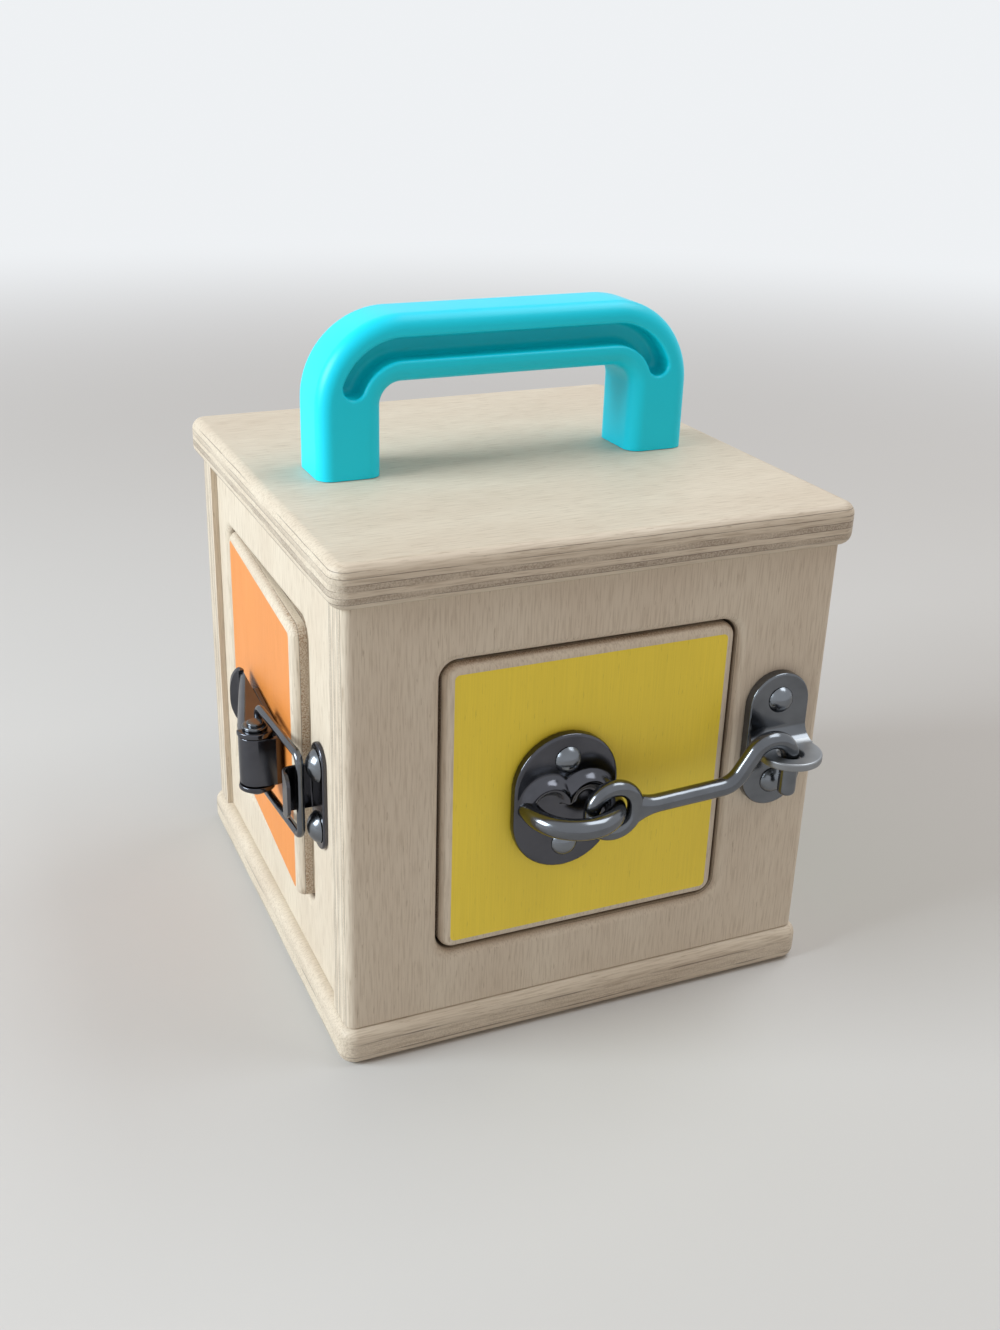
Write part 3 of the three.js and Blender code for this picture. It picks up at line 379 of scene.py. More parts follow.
def tube(route, diameter, tip=WIRE_TIP):
    """Round wire along a route, its two ends rounded over by the tip radius."""
    radius = diameter / 2
    ends = [(tip - x, tip - y) for x, y in arc(0, 0, tip, 0, 90, EDGE_STEPS)]
    start = (route[1] - route[0]).normalized()
    stop = (route[-1] - route[-2]).normalized()
    stations = [(route[0] + start * along, radius - less) for along, less in ends]
    stations += [(point, radius) for point in route[1:-1]]
    stations += [(route[-1] - stop * along, radius - less) for along, less in reversed(ends)]
    places = [place for place, _ in stations]
    normal = start.orthogonal().normalized()
    rings = []
    for i, (place, size) in enumerate(stations):
        tangent = (places[min(i + 1, len(places) - 1)] - places[max(i - 1, 0)]).normalized()
        normal = (normal - tangent * normal.dot(tangent)).normalized()
        side = tangent.cross(normal)
        rings.append([place + (normal * cos + side * sin) * size for cos, sin in circle(WIRE_SIDES)])
    return loft(rings)


def torus(x, y, z, radius, wire):
    points, faces = [], []
    turns = 2 * TURN_SIDES
    for cos, sin in circle(turns):
        for outward, upward in circle(WIRE_SIDES):
            out = radius + wire * outward
            points.append((x + out * cos, y + out * sin, z + wire * upward))
    for i in range(turns):
        for k in range(WIRE_SIDES):
            here, beside = i * WIRE_SIDES, ((i + 1) % turns) * WIRE_SIDES
            after = (k + 1) % WIRE_SIDES
            faces.append((here + k, beside + k, beside + after, here + after))
    return points, faces


def turned(profile):
    """Profile of radius and height, from the axis back to the axis, turned about Z."""
    points, rings, faces = [], [], []
    for radius, height in profile:
        sides = TURN_SIDES if radius > TINY else 1
        rings.append(range(len(points), len(points) + sides))
        points += [(radius * cos, radius * sin, height) for cos, sin in circle(TURN_SIDES)[:sides]]
    for low, high in zip(rings, rings[1:]):
        for k in range(TURN_SIDES):
            after = (k + 1) % TURN_SIDES
            ring = [low[k % len(low)], low[after % len(low)], high[after % len(high)], high[k % len(high)]]
            corners = [p for i, p in enumerate(ring) if p != ring[i - 1]]
            if len(corners) > 2:
                faces.append(tuple(corners))
    return points, faces


def dome(diameter, height, level):
    half = diameter / 2
    sphere = (half * half + height * height) / (2 * height)
    rim = 90 - math.degrees(math.asin(half / sphere))
    return arc(0, level + height - sphere, sphere, rim, 90, 2 * EDGE_STEPS)


def mapped(solid, place):
    """The solid with each of its points put where the place function says."""
    points, faces = solid
    return [place(*point) for point in points], faces


def moved(solid, x=0, y=0, z=0):
    return mapped(solid, lambda px, py, pz: (px + x, py + y, pz + z))


def both_ends(solid):
    """The solid and its mirror image in Y."""
    return [solid, mapped(solid, lambda x, y, z: (x, -y, z))]


def block(low, high):
    (x0, y0, z0), (x1, y1, z1) = low, high
    corners = [(x0, y0), (x1, y0), (x1, y1), (x0, y1)]
    return loft([[(x, y, z) for x, y in corners] for z in (z0, z1)])


# Meshes from solids
def mesh_of(shape):
    """The mesh of a solid, or the mesh itself where the shape is one already."""
    if isinstance(shape, bpy.types.Mesh):
        return shape
    points, faces = shape
    mesh = bpy.data.meshes.new("solid")
    mesh.from_pydata(points, [], faces)
    work = bmesh.new()
    work.from_mesh(mesh)
    bmesh.ops.remove_doubles(work, verts=work.verts, dist=TINY)
    bmesh.ops.recalc_face_normals(work, faces=work.faces)
    work.to_mesh(mesh)
    work.free()
    return mesh


def linked(name, data):
    thing = bpy.data.objects.new(name, data)
    bpy.context.scene.collection.objects.link(thing)
    return thing


def modified(mesh, *steps):
    """The mesh with modifiers applied, each given as its kind and settings."""
    piece = linked("holder", mesh)
    for kind, settings in steps:
        modifier = piece.modifiers.new(kind, kind)
        for key, value in settings.items():
            setattr(modifier, key, value)
    graph = bpy.context.evaluated_depsgraph_get()
    result = bpy.data.meshes.new_from_object(piece.evaluated_get(graph))
    bpy.data.objects.remove(piece)
    return result


def combined(operation, solid, others):
    tools = [linked("holder", mesh_of(other)) for other in others]
    steps = [("BOOLEAN", {"operation": operation, "solver": "MANIFOLD", "object": tool}) for tool in tools]
    result = modified(mesh_of(solid), *steps)
    for tool in tools:
        bpy.data.objects.remove(tool)
    return result


def joined(solid, *others):
    return combined("UNION", solid, others)


def cut(solid, *others):
    return combined("DIFFERENCE", solid, others)


def trimmed(solid, *others):
    return combined("INTERSECT", solid, others)


def softened(mesh, voxel, rounds):
    """One skin over a mesh, its creases softened as pressing or forging leaves them."""
    return modified(
        mesh,
        ("REMESH", {"mode": "VOXEL", "voxel_size": voxel}),
        ("SMOOTH", {"factor": SMOOTHING, "iterations": rounds}),
    )


def dress(node, shape, place, *materials):
    """Puts a finer mesh in a node's place, on the node's body, with the materials given."""
    mesh = mesh_of(shape)
    mesh.name = f"{node}_look"
    mesh.transform(Matrix.Scale(MM, 4))
    mesh.materials.clear()
    for material in materials:
        mesh.materials.append(material)
    mesh.shade_smooth()
    mesh.set_sharp_from_angle(angle=SHARP_ANGLE)
    piece = linked(f"{node}_look", mesh)
    piece.matrix_world = place
    normals = piece.modifiers.new("even shading", "WEIGHTED_NORMAL")
    normals.keep_sharp = True
    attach(piece, body_of[node])
    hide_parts(node)
    return piece


# Places
def rotation(degrees, axis):
    return Matrix.Rotation(math.radians(degrees), 4, axis)


def face_place(side, ajar=0):
    """Face frame of a wall, or of its door swung open by so many degrees."""
    hinge = Matrix.Translation(joints[f"{side}_door_swing"]["pos_m"])
    turn = rotation(FACE_TURNS[side], "Z") @ rotation(90, "X") @ rotation(-ajar, "Y")
    return hinge @ turn @ Matrix.Translation((-HINGE_X * MM, 0, HINGE_DEPTH * MM))


# Materials
class Nodes:
    """A node tree, whose nodes take sockets, numbers or colours as inputs."""

    def __init__(self, tree):
        self.tree = tree

    def feed(self, socket, value):
        if isinstance(value, bpy.types.NodeSocket):
            self.tree.links.new(value, socket)
        else:
            socket.default_value = value

    def add(self, kind, inputs, output=0, **settings):
        node = self.tree.nodes.new(kind)
        for key, value in settings.items():
            setattr(node, key, value)
        for key, value in inputs.items():
            self.feed(node.inputs[key], value)
        return node.outputs[output]

    def math(self, operation, *values):
        return self.add("ShaderNodeMath", dict(enumerate(values)), operation=operation)

    def times(self, first, second):
        return self.math("MULTIPLY", first, second)

    def blend(self, factor, first, second, share=1):
        """The first colour, going over to the second by at most the share given."""
        if share != 1:
            factor = self.times(factor, share)
        colours = {0: factor, 6: (*first, 1) if isinstance(first, tuple) else first}
        colours[7] = (*second, 1) if isinstance(second, tuple) else second
        return self.add("ShaderNodeMix", colours, output=2, data_type="RGBA")

    def step(self, value, low, high):
        """0 below low, 1 above high and smooth between, or the other way round."""
        inputs = {"Value": value, "From Min": low, "From Max": high}
        return self.add("ShaderNodeMapRange", inputs, interpolation_type="SMOOTHSTEP")

    def coordinates(self, output="Object"):
        return self.add("ShaderNodeTexCoord", {}, output=output)

    def split(self, vector):
        node = self.tree.nodes.new("ShaderNodeSeparateXYZ")
        self.feed(node.inputs[0], vector)
        return list(node.outputs)

    def noise(self, vector, scale, detail=2, seed=0):
        """Noise at so many waves a metre along X, Y and Z."""
        inputs = {"Vector": vector, "Location": (seed, 2 * seed, 3 * seed), "Scale": scale}
        stretched = self.add("ShaderNodeMapping", inputs)
        return self.add("ShaderNodeTexNoise", {"Vector": stretched, "Scale": 1.0, "Detail": detail})


class Finish(Nodes):
    """A procedural material."""

    def __init__(self, name):
        self.material = bpy.data.materials.new(name)
        self.material.use_nodes = True
        super().__init__(self.material.node_tree)
        self.shader = self.tree.nodes["Principled BSDF"]

    def surface(self, key, value):
        self.feed(self.shader.inputs[key], value)

    def coat(self, colour, rough, height, strength):
        """Colours the shader, roughens it by noise with its span and least, and raises it by a height."""
        self.surface("Base Color", colour)
        self.surface("Roughness", self.math("MULTIPLY_ADD", *rough))
        inputs = {"Height": height, "Strength": strength, "Distance": BUMP}
        self.surface("Normal", self.add("ShaderNodeBump", inputs))
        return self.material


# Wood: its colours, then the shares of them that show
WOOD_PALE = (0.70, 0.62, 0.50)
WOOD_WARM = (0.645, 0.555, 0.44)
WOOD_FLECK = (0.36, 0.275, 0.19)
WOOD_END = (0.25, 0.19, 0.14)
DOOR_END = (0.30, 0.185, 0.11)
WOOD_GLUE = (0.11, 0.08, 0.06)
BURN_AND_GAP_SHADE = (0.13, 0.088, 0.057)
FACE_STREAKS = 0.4
MORE_ON_EDGES = 0.2
FLECK_SHARE = 0.55
GLUE_SHARE = 0.7
BURN_AND_GAP_SHADE_SHARE = 0.85
# Axes that the grain runs along
ACROSS, UP = 0, 1
# Waves a metre, along and across the grain or along X, Y and Z
GRAIN_FINE = (110, 2200)
GRAIN_LONG = (45, 2400)
GRAIN_BROAD = (12, 40)
GRAIN_FLECK = (180, 1900)
END_WAVES = (2300, 2300, 2300)
SLOW_WAVES = (30, 30, 30)
PATCH_WAVES = (40, 40, 300)
# Noise levels between which each feature comes in
TONE_LEVELS = (0.25, 0.75)
STREAK_LEVELS = (0.4, 0.75)
FLECK_LEVELS = (0.64, 0.74)
END_LEVELS = (0.35, 0.65)
PATCH_LEVELS = (0.3, 0.7)
GLUE_LEVELS = (0.1, 0.6)
# Millimetres of depth
VENEER = (0.3, 0.9)
PLIES = 7
PLY = PANEL / PLIES
PLY_WANDER = 0.7
DOOR_PLY = 2.4
# Span and least of the roughness
WOOD_ROUGH = (0.2, 0.45)
PAINT_ROUGH = (0.2, 0.38)
PLASTIC_ROUGH = (0.12, 0.34)
METAL_SPAN = 0.12
# Paint over the grain
PAINT_DEEP = 0.75
PAINT_DARK = 0.5
PAINT_STREAKS = (0.3, 0.75)
PAINT_TONES = (0.35, 0.75)
STREAK_SHARE = 0.24
TONE_SHARE = 0.2
PORE_SHARE = 0.3
# Plastic and plated metal
CLOUD_SHARE = 0.3
CLOUD_SHADE = 0.9
SKIN_WAVES = (2200, 2200, 2200)
PLASTIC_SPECULAR = 0.35
SMEAR_WAVES = (120, 160, 140)
SMEAR_LEVELS = (0.35, 0.75)
SMEAR_SHADE = 0.82
HAIR_WAVES = (500, 4200, 900)


def shaded(colour, share):
    return tuple(share * part for part in colour)


def grain_scale(along, waves):
    """Waves a metre with the grain along one axis and across the other two."""
    return tuple(waves[0] if axis == along else waves[1] for axis in range(3))


def wood_grain(wood, along, seed, streaks):
    """Fine streaks at the waves given, broad tones and short flecks that run with the grain."""
    place = wood.coordinates()
    fine = wood.noise(place, grain_scale(along, streaks), 3, seed)
    broad = wood.noise(place, grain_scale(along, GRAIN_BROAD), seed=seed + 1)
    pores = wood.noise(place, grain_scale(along, GRAIN_FLECK), seed=seed + 2)
    return fine, broad, wood.step(pores, *FLECK_LEVELS)


def plywood(name, along, seed, ply=PLY, shade=0.6, onset=0.3, ramp=3.4, specks=0.5, seam=0.15,
            end_grain=WOOD_END, opening=False):
    """Veneer faces at Z zero, with plies of the depth given and glue lines where the edges show them.

    The end grain is darkened by the shade given, from the depth where it sets in, and speckled. The sides of
    a door opening are browned, partly as burn from the cut and partly as painted shade of the narrow gap."""
    wood = Finish(name)
    fine, broad, flecks = wood_grain(wood, along, seed, GRAIN_FINE)
    facing = [wood.math("ABSOLUTE", part) for part in wood.split(wood.coordinates("Normal"))]
    sideways = wood.math("SUBTRACT", 1.0, facing[2])
    streaks = wood.math("MULTIPLY_ADD", sideways, MORE_ON_EDGES, FACE_STREAKS)
    face = wood.blend(wood.step(broad, *TONE_LEVELS), WOOD_PALE, WOOD_WARM)
    face = wood.blend(wood.step(fine, *STREAK_LEVELS), face, WOOD_FLECK, streaks)
    face = wood.blend(flecks, face, WOOD_FLECK, FLECK_SHARE)

    place = wood.coordinates()
    wander = wood.noise(place, SLOW_WAVES, 3, seed + 3)
    depth = wood.times(wood.split(place)[2], -1 / MM)
    level = wood.math("MULTIPLY_ADD", wood.math("SUBTRACT", wander, 0.5), PLY_WANDER, depth)
    count = wood.math("DIVIDE", level, ply)
    odd = wood.math("MODULO", wood.math("FLOOR", count), 2.0)
    back = [PANEL - skin for skin in VENEER]
    inside = wood.times(wood.step(depth, *VENEER), wood.step(depth, *back))

    turned_end = wood.math("SUBTRACT", facing[1 - along], facing[along])
    end = wood.math("MULTIPLY_ADD", odd, turned_end, facing[along])
    dots = wood.step(wood.noise(place, END_WAVES, seed=seed + 4), *END_LEVELS)
    end_tone = wood.blend(dots, end_grain, WOOD_PALE, specks)
    patches = wood.step(wood.noise(place, PATCH_WAVES, seed=seed + 5), *PATCH_LEVELS)
    uneven = wood.math("MULTIPLY_ADD", patches, shade / 2, shade / 2)
    deep = wood.times(wood.step(depth, onset, onset + ramp), inside)
    edge = wood.blend(wood.times(end, deep), face, end_tone, uneven)

    cycle = wood.math("FRACT", count)
    gap = wood.times(wood.math("MINIMUM", cycle, wood.math("SUBTRACT", 1.0, cycle)), ply)
    line = wood.times(wood.step(gap, seam, seam / 4), inside)
    broken = wood.times(line, wood.step(patches, *GLUE_LEVELS))
    colour = wood.blend(broken, edge, WOOD_GLUE, GLUE_SHARE)
    # Sides of the door opening browned: partly burn from the cut, partly painted shade of the gap
    if opening:
        across = [wood.math("ABSOLUTE", part) for part in wood.split(place)[:2]]
        near = wood.times(wood.math("MAXIMUM", *across), 1 / MM)
        mouth = wood.step(near, JAMB + OPENING_EDGE / 2, JAMB)
        burnt_and_shaded = wood.times(mouth, wood.step(depth, OPENING_EDGE / 2, OPENING_EDGE))
        colour = wood.blend(burnt_and_shaded, colour, BURN_AND_GAP_SHADE, BURN_AND_GAP_SHADE_SHARE)
    height = wood.math("SUBTRACT", fine, wood.math("ADD", flecks, line))
    return wood.coat(colour, (fine, *WOOD_ROUGH), height, strength=0.2)


def painted_wood(name, colour, seed):
    """Thin paint on a veneer face, with the upright grain showing through."""
    paint = Finish(name)
    fine, broad, flecks = wood_grain(paint, UP, seed, GRAIN_LONG)
    deep = shaded(colour, PAINT_DEEP)
    tone = paint.blend(paint.step(fine, *PAINT_STREAKS), colour, deep, STREAK_SHARE)
    tone = paint.blend(paint.step(broad, *PAINT_TONES), tone, deep, TONE_SHARE)
    tone = paint.blend(flecks, tone, shaded(colour, PAINT_DARK), PORE_SHARE)
    return paint.coat(tone, (fine, *PAINT_ROUGH), paint.math("SUBTRACT", fine, flecks), strength=0.25)


def moulded_plastic(name, colour):
    finish = Finish(name)
    place = finish.coordinates()
    cloud = finish.noise(place, SLOW_WAVES, detail=3)
    tone = finish.blend(cloud, colour, shaded(colour, CLOUD_SHADE), CLOUD_SHARE)
    finish.surface("Specular IOR Level", PLASTIC_SPECULAR)
    skin = finish.noise(place, SKIN_WAVES, detail=1)
    return finish.coat(tone, (cloud, *PLASTIC_ROUGH), skin, strength=0.05)


def plated_metal(name, colour, roughness):
    """Polished plate with faint smears and hairlines."""
    metal = Finish(name)
    place = metal.coordinates()
    smear = metal.noise(place, SMEAR_WAVES, detail=3)
    hair = metal.noise(place, HAIR_WAVES)
    tone = metal.blend(metal.step(smear, *SMEAR_LEVELS), colour, shaded(colour, SMEAR_SHADE))
    metal.surface("Metallic", 1.0)
    height = metal.math("ADD", hair, smear)
    return metal.coat(tone, (smear, METAL_SPAN, roughness), height, strength=0.03)


# Copies of one nickel plating, made lighter and darker by how light falls on each kind of piece: the darkened copy
# on the flat plates is painted dark reflection, and the lightened copy on wires, pins, bolt and knob and the
# rivets' copy are painted sheen
darkened_nickel = plated_metal("painted_dark_reflection_nickel", (0.092, 0.093, 0.105), roughness=0.1)
lightened_nickel = plated_metal("painted_sheen_nickel", (0.155, 0.163, 0.177), roughness=0.12)
rivet_glint_nickel = plated_metal("rivet_painted_glint_nickel", (0.2, 0.213, 0.232), roughness=0.17)
# Lighter, rougher copy of the nickel for the lug's top: painted sheen
lug_sheen_satin = plated_metal("lug_painted_sheen_satin_nickel", (0.285, 0.293, 0.305), roughness=0.34)
steel = plated_metal("plain_steel", (0.5, 0.5, 0.5), roughness=0.25)
teal = moulded_plastic("teal_plastic", (0.004, 0.74, 0.96))
# Darker copy of the same teal plastic: painted shade inside the handle's grooves
groove_shade_teal = moulded_plastic("groove_painted_shade_teal_plastic", (0.001, 0.72, 0.84))
inner_wood = plywood("inner_wood", UP, seed=90)
paints = {
    "front": painted_wood("yellow_paint", (0.95, 0.74, 0.056), seed=3),
    "left": painted_wood("orange_paint", (0.77, 0.268, 0.052), seed=13),
    "right": painted_wood("green_paint", (0.24, 0.55, 0.17), seed=23),
    "back": painted_wood("blue_paint", (0.06, 0.30, 0.58), seed=33),
}


# Boards, walls and doors
def add_board(node, seed, **edges):
    low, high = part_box(node)
    width, depth, thickness = (size / MM for size in high - low)
    board = slab(width, depth, BOARD_CORNER, edge_rows(thickness, BOARD_EDGE, BOARD_EDGE))
    place = Matrix.Translation(((low.x + high.x) / 2, (low.y + high.y) / 2, high.z))
    finish = plywood(f"{node}_plywood", ACROSS, seed, **edges)
    dress(node, moved(board, z=-thickness), place, finish)


def opening_tool():
    mouth = arc(OPENING_EDGE, -OPENING_EDGE, OPENING_EDGE, 180, 90, EDGE_STEPS)
    rows = [(0, -PANEL - MARGIN), *mouth, (OPENING_EDGE, MARGIN)]
    return slab(OPENING, OPENING, DOOR_CORNER + DOOR_GAP, rows)


def add_wall(side, edge, seed):
    node = f"{side}_panel"
    place = face_place(side)
    corners = [place.inverted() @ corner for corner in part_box(node)]
    low, high = ([end(pair) / MM for pair in zip(*corners)] for end in (min, max))
    middle = (low[0] + high[0]) / 2
    rings = []
    for growth, level in edge_rows(PANEL, 0, edge):
        outline = rounded_rectangle(high[0] - low[0] + 2 * growth, high[1] - low[1], 0)
        rings.append([(x + middle, y, level - PANEL) for x, y in outline])
    finish = plywood(f"{node}_plywood", UP, seed, opening=True)
    dress(node, cut(loft(rings), opening_tool()), place, finish)


def add_door(side, place, seed):
    rows = edge_rows(PANEL, DOOR_BACK, DOOR_EDGE)
    mesh = mesh_of(moved(slab(DOOR, DOOR, DOOR_CORNER, rows), z=-PANEL))
    front = max(mesh.polygons, key=lambda face: face.center.z)
    bare = plywood(f"{side}_door_plywood", UP, seed, ply=DOOR_PLY, shade=1, onset=0.6, ramp=1.2, specks=0.8,
                   end_grain=DOOR_END)
    piece = dress(f"{side}_door", mesh, place, bare, paints[side])
    piece.data.polygons[front.index].material_index = 1


def keep(node, material):
    """A CAD piece that stays as it is and only takes a finish."""
    nodes[node].data.materials.clear()
    nodes[node].data.materials.append(material)


# Handle
def handle_bend(side, radius, start, end):
    return arc(side * BEND_X, BEND_Y, radius, start, end, HANDLE_STEPS)


def handle_outline(foot):
    half = HANDLE_LENGTH / 2
    inner = HANDLE_CORNER - HANDLE_BAR
    return [
        (half, foot),
        *handle_bend(1, HANDLE_CORNER, 0, 90),
        *handle_bend(-1, HANDLE_CORNER, 90, 180),
        (-half, foot),
        (HANDLE_BAR - half, foot),
        *handle_bend(-1, inner, 180, 90),
        *handle_bend(1, inner, 90, 0),
        (half - HANDLE_BAR, foot),
    ]


def groove_outline():
    middle = HANDLE_CORNER - HANDLE_BAR / 2
    half = GROOVE_WIDTH / 2
    x, y = Vector((BEND_X, BEND_Y)) + heading(math.radians(GROOVE_END)) * middle
    turn = 180 - GROOVE_END
    return [
        *handle_bend(1, middle + half, GROOVE_END, 90),
        *handle_bend(-1, middle + half, 90, turn),
        *arc(-x, y, half, turn, turn + 180, HANDLE_STEPS)[1:-1],
        *handle_bend(-1, middle - half, turn, 90),
        *handle_bend(1, middle - half, 90, GROOVE_END),
        *arc(x, y, half, GROOVE_END + 180, GROOVE_END + 360, HANDLE_STEPS)[1:-1],
    ]


def in_groove(point):
    from_bend = math.hypot(max(abs(point.x) - BEND_X, 0), point.y - BEND_Y)
    near = abs(from_bend - HANDLE_CORNER + HANDLE_BAR / 2) < GROOVE_WIDTH
    return point.y > BEND_Y and near and abs(point.z) < HANDLE_DEPTH / 2 - GROOVE_RIM


def groove_tool(side):
    surface = HANDLE_DEPTH / 2
    floor = arc(-GROOVE_FLOOR, surface - GROOVE_DEPTH + GROOVE_FLOOR, GROOVE_FLOOR, -90, 0, EDGE_STEPS)
    rim = arc(GROOVE_RIM, surface - GROOVE_RIM, GROOVE_RIM, 180, 90, EDGE_STEPS)
    groove = prism(groove_outline(), [*floor, *rim, (GROOVE_RIM, surface + MARGIN)])
    return mapped(groove, lambda x, y, z: (x, y, side * z))


def add_handle():
    bridge = prism(handle_outline(-2 * HANDLE_EDGE), edge_rows(HANDLE_DEPTH, HANDLE_EDGE, HANDLE_EDGE))
    below = block((-HANDLE_LENGTH, -HANDLE_HEIGHT, -HANDLE_DEPTH), (HANDLE_LENGTH, 0, HANDLE_DEPTH))
    mesh = cut(moved(bridge, z=-HANDLE_DEPTH / 2), below, groove_tool(1), groove_tool(-1))
    low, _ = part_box("carry_handle")
    place = Matrix.Translation((0, 0, low.z)) @ rotation(90, "X")
    handle = dress("carry_handle", mesh, place, teal, groove_shade_teal)
    # Faces inside the grooves take the darker teal, painted shade of the recess
    for face in handle.data.polygons:
        face.material_index = int(in_groove(face.center / MM))


# Hardware shared by the latches
def rivet(sheet, head):
    level = sheet + 2 * SEAT
    height = RIVET_HEIGHT * head / RIVET_HEAD
    foot = -RIVET_GRIP
    shank = RIVET_SHANK / 2
    return turned([(0, foot), (shank, foot), (shank, level), *dome(head, height, level)])


def add_rivets(plate, spots, sheet, place, head=RIVET_HEAD):
    for spot, (x, y) in spots.items():
        dress(f"{plate}_rivet_{spot}", moved(rivet(sheet, head), x, y), place, rivet_glint_nickel)


def add_rivet_pair(plate, x, y, spacing, sheet, place, head=RIVET_HEAD):
    spots = {"upper": (x, y + spacing / 2), "lower": (x, y - spacing / 2)}
    add_rivets(plate, spots, sheet, place, head)


def flat_plate(size, sheet, x, y=0, corner=None):
    """Plate on the wood, its ends half round unless a corner radius is given."""
    rows = edge_rows(sheet, 0, min(PLATE_EDGE, sheet / 2))
    return moved(slab(*size, corner or size[0] / 2, rows), x, y, SEAT)


def plan_block(width, height, radius, x):
    return moved(slab(width, height, radius, [(0, -TALL), (0, TALL)]), x)


# Cabin hook, front
def staple_route():
    half = STAPLE_SPAN / 2
    crown = STAPLE_LEG + half
    foot = SEAT + 2 * FIT
    corners = [(-half, foot), (-half, crown), (half, crown), (half, foot)]
    return filleted([(EYE_X + x, EYE_Y, z) for x, z in corners], [half, half])


def eye_ridge(side):
    """Half ring pressed up in the plate, from its middle to one leg of the staple."""
    radius = STAPLE_SPAN / 4
    base = SEAT + HOOK_PLATE
    swell = []
    for k in range(2 * CORNER_STEPS + 1):
        across = k / CORNER_STEPS - 1
        swell.append((across * RIDGE_REACH, base + RIDGE_HEIGHT * (0.5 + 0.5 * math.cos(math.pi * across))))
    section = [(-RIDGE_REACH, base - MARGIN), *swell, (RIDGE_REACH, base - MARGIN)]
    rings = []
    centre = EYE_X + side * radius
    for cos, sin in arc(0, 0, 1, 0, 180, TURN_SIDES):
        rings.append([(centre + (radius + out) * cos, EYE_Y + (radius + out) * sin, z) for out, z in section])
    return loft(rings)


def hook_axes():
    """Middle of the hook's eye, where the staple's bow has leaned inward, the shank's start and its way."""
    lean = math.asin((HOOK_STAND_OFF - STAPLE_LEG) / (STAPLE_SPAN / 2))
    eye = Vector((EYE_X + (STAPLE_SPAN / 2) * math.cos(lean), EYE_Y)) + Vector(HOOK_EYE_SLACK)
    return eye, eye - Vector((0, HOOK_SHANK_DROP)), heading(HOOK_SHANK_ANGLE)


def hook_neck():
    """Flare of the shank where it runs into the eye."""
    _, root, shank = hook_axes()
    across = left_of(shank)
    rings = []
    for k in range(CORNER_STEPS + 1):
        share = k / CORNER_STEPS
        middle = root + shank * (HOOK_EYE / 2 + NECK_START + NECK_LENGTH * share)
        wide = HOOK_WIRE / 2 + NECK_FLARE * (1 - share) ** 2
        ring = [(middle + across * (wide * cos), HOOK_WIRE / 2 * sin) for cos, sin in circle(WIRE_SIDES)]
        rings.append([(*place, HOOK_STAND_OFF + out) for place, out in ring])
    return loft(rings)


def hook_route():
    _, root, shank = hook_axes()
    rise = heading(HOOK_RISE_ANGLE)
    touch = Vector((HOOK_TIP_X - HOOK_CURL, LUG_Y - HOOK_CURL_DROP)) + left_of(rise) * HOOK_CURL
    bend = root + shank * ((touch - root).cross(rise) / shank.cross(rise))
    peak = touch + rise * ((HOOK_TIP_X - touch.x) / rise.x)
    start = root + shank * (HOOK_EYE / 2)
    tip = Vector((HOOK_TIP_X, LUG_Y - LUG_SHEET / 2 - HOOK_TIP_DROP))
    corners = [(p.x, p.y, HOOK_STAND_OFF) for p in (start, bend, peak, tip)]
    return filleted(corners, [HOOK_BEND, HOOK_CURL])


def lug_hole():
    flare = LUG_SHEET / 4
    top = LUG_SHEET / 2
    rows = [(flare, -top - MARGIN), *arc(flare, flare - top, flare, 270, 180, EDGE_STEPS),
            *arc(flare, top - flare, flare, 180, 90, EDGE_STEPS), (flare, top + MARGIN)]
    hole = prism(rounded_rectangle(*LUG_HOLE, LUG_HOLE[1] / 2), rows)
    return mapped(hole, lambda x, y, z: (HOOK_TIP_X + x, LUG_Y + z, HOOK_STAND_OFF + y))


def catch_plate():
    half = LUG_WIDTH / 2
    root = SEAT + HOOK_PLATE / 2
    top = SEAT + HOOK_PLATE
    plate = flat_plate(CATCH_PLATE, HOOK_PLATE, CATCH_X, CATCH_Y)
    outline = [(half, root), *arc(0, LUG_REACH - half, half, 0, 180, TURN_SIDES), (-half, root)]
    lug = moved(upright(outline, LUG_SHEET, LUG_SHEET / 4), CATCH_X, LUG_Y)
    sweep = arc(LUG_FILLET, LUG_FILLET, LUG_FILLET, 270, 180, CORNER_STEPS)
    corner = [(-LUG_SHEET / 2, -LUG_SHEET / 2), *sweep]
    rib = []
    for x in (CATCH_X - half, CATCH_X + half):
        rib.append([(x, LUG_Y + LUG_SHEET / 2 + up, top + out) for up, out in corner])
    return cut(joined(plate, lug, loft(rib)), lug_hole())


def add_cabin_hook(door, wall):
    plate = flat_plate(EYE_PLATE, HOOK_PLATE, EYE_X, EYE_Y)
    plate = softened(joined(plate, eye_ridge(-1), eye_ridge(1)), **PRESSED)
    dress("hook_eye_plate", plate, door, darkened_nickel)
    dress("hook_staple", tube(staple_route(), STAPLE_WIRE), door, lightened_nickel)
    eye = torus(*hook_axes()[0], HOOK_STAND_OFF, HOOK_EYE / 2, HOOK_EYE_WIRE / 2)
    hook = joined(eye, tube(hook_route(), HOOK_WIRE, HOOK_TIP_ROUND), hook_neck())
    dress("cabin_hook", softened(hook, **FORGED), door, lightened_nickel)
    catch = dress("hook_catch_plate", catch_plate(), wall, lightened_nickel, lug_sheen_satin)
    # The lug's upper faces take the lighter satin copy, painted sheen on its top
    for face in catch.data.polygons:
        face.material_index = int(face.center.z / MM > SEAT + HOOK_PLATE + LUG_FILLET / 2)
    add_rivet_pair("hook_eye_plate", EYE_X, EYE_Y, HOOK_RIVETS, HOOK_PLATE, door)
    add_rivet_pair("hook_catch_plate", CATCH_X, CATCH_Y, HOOK_RIVETS, HOOK_PLATE, wall)


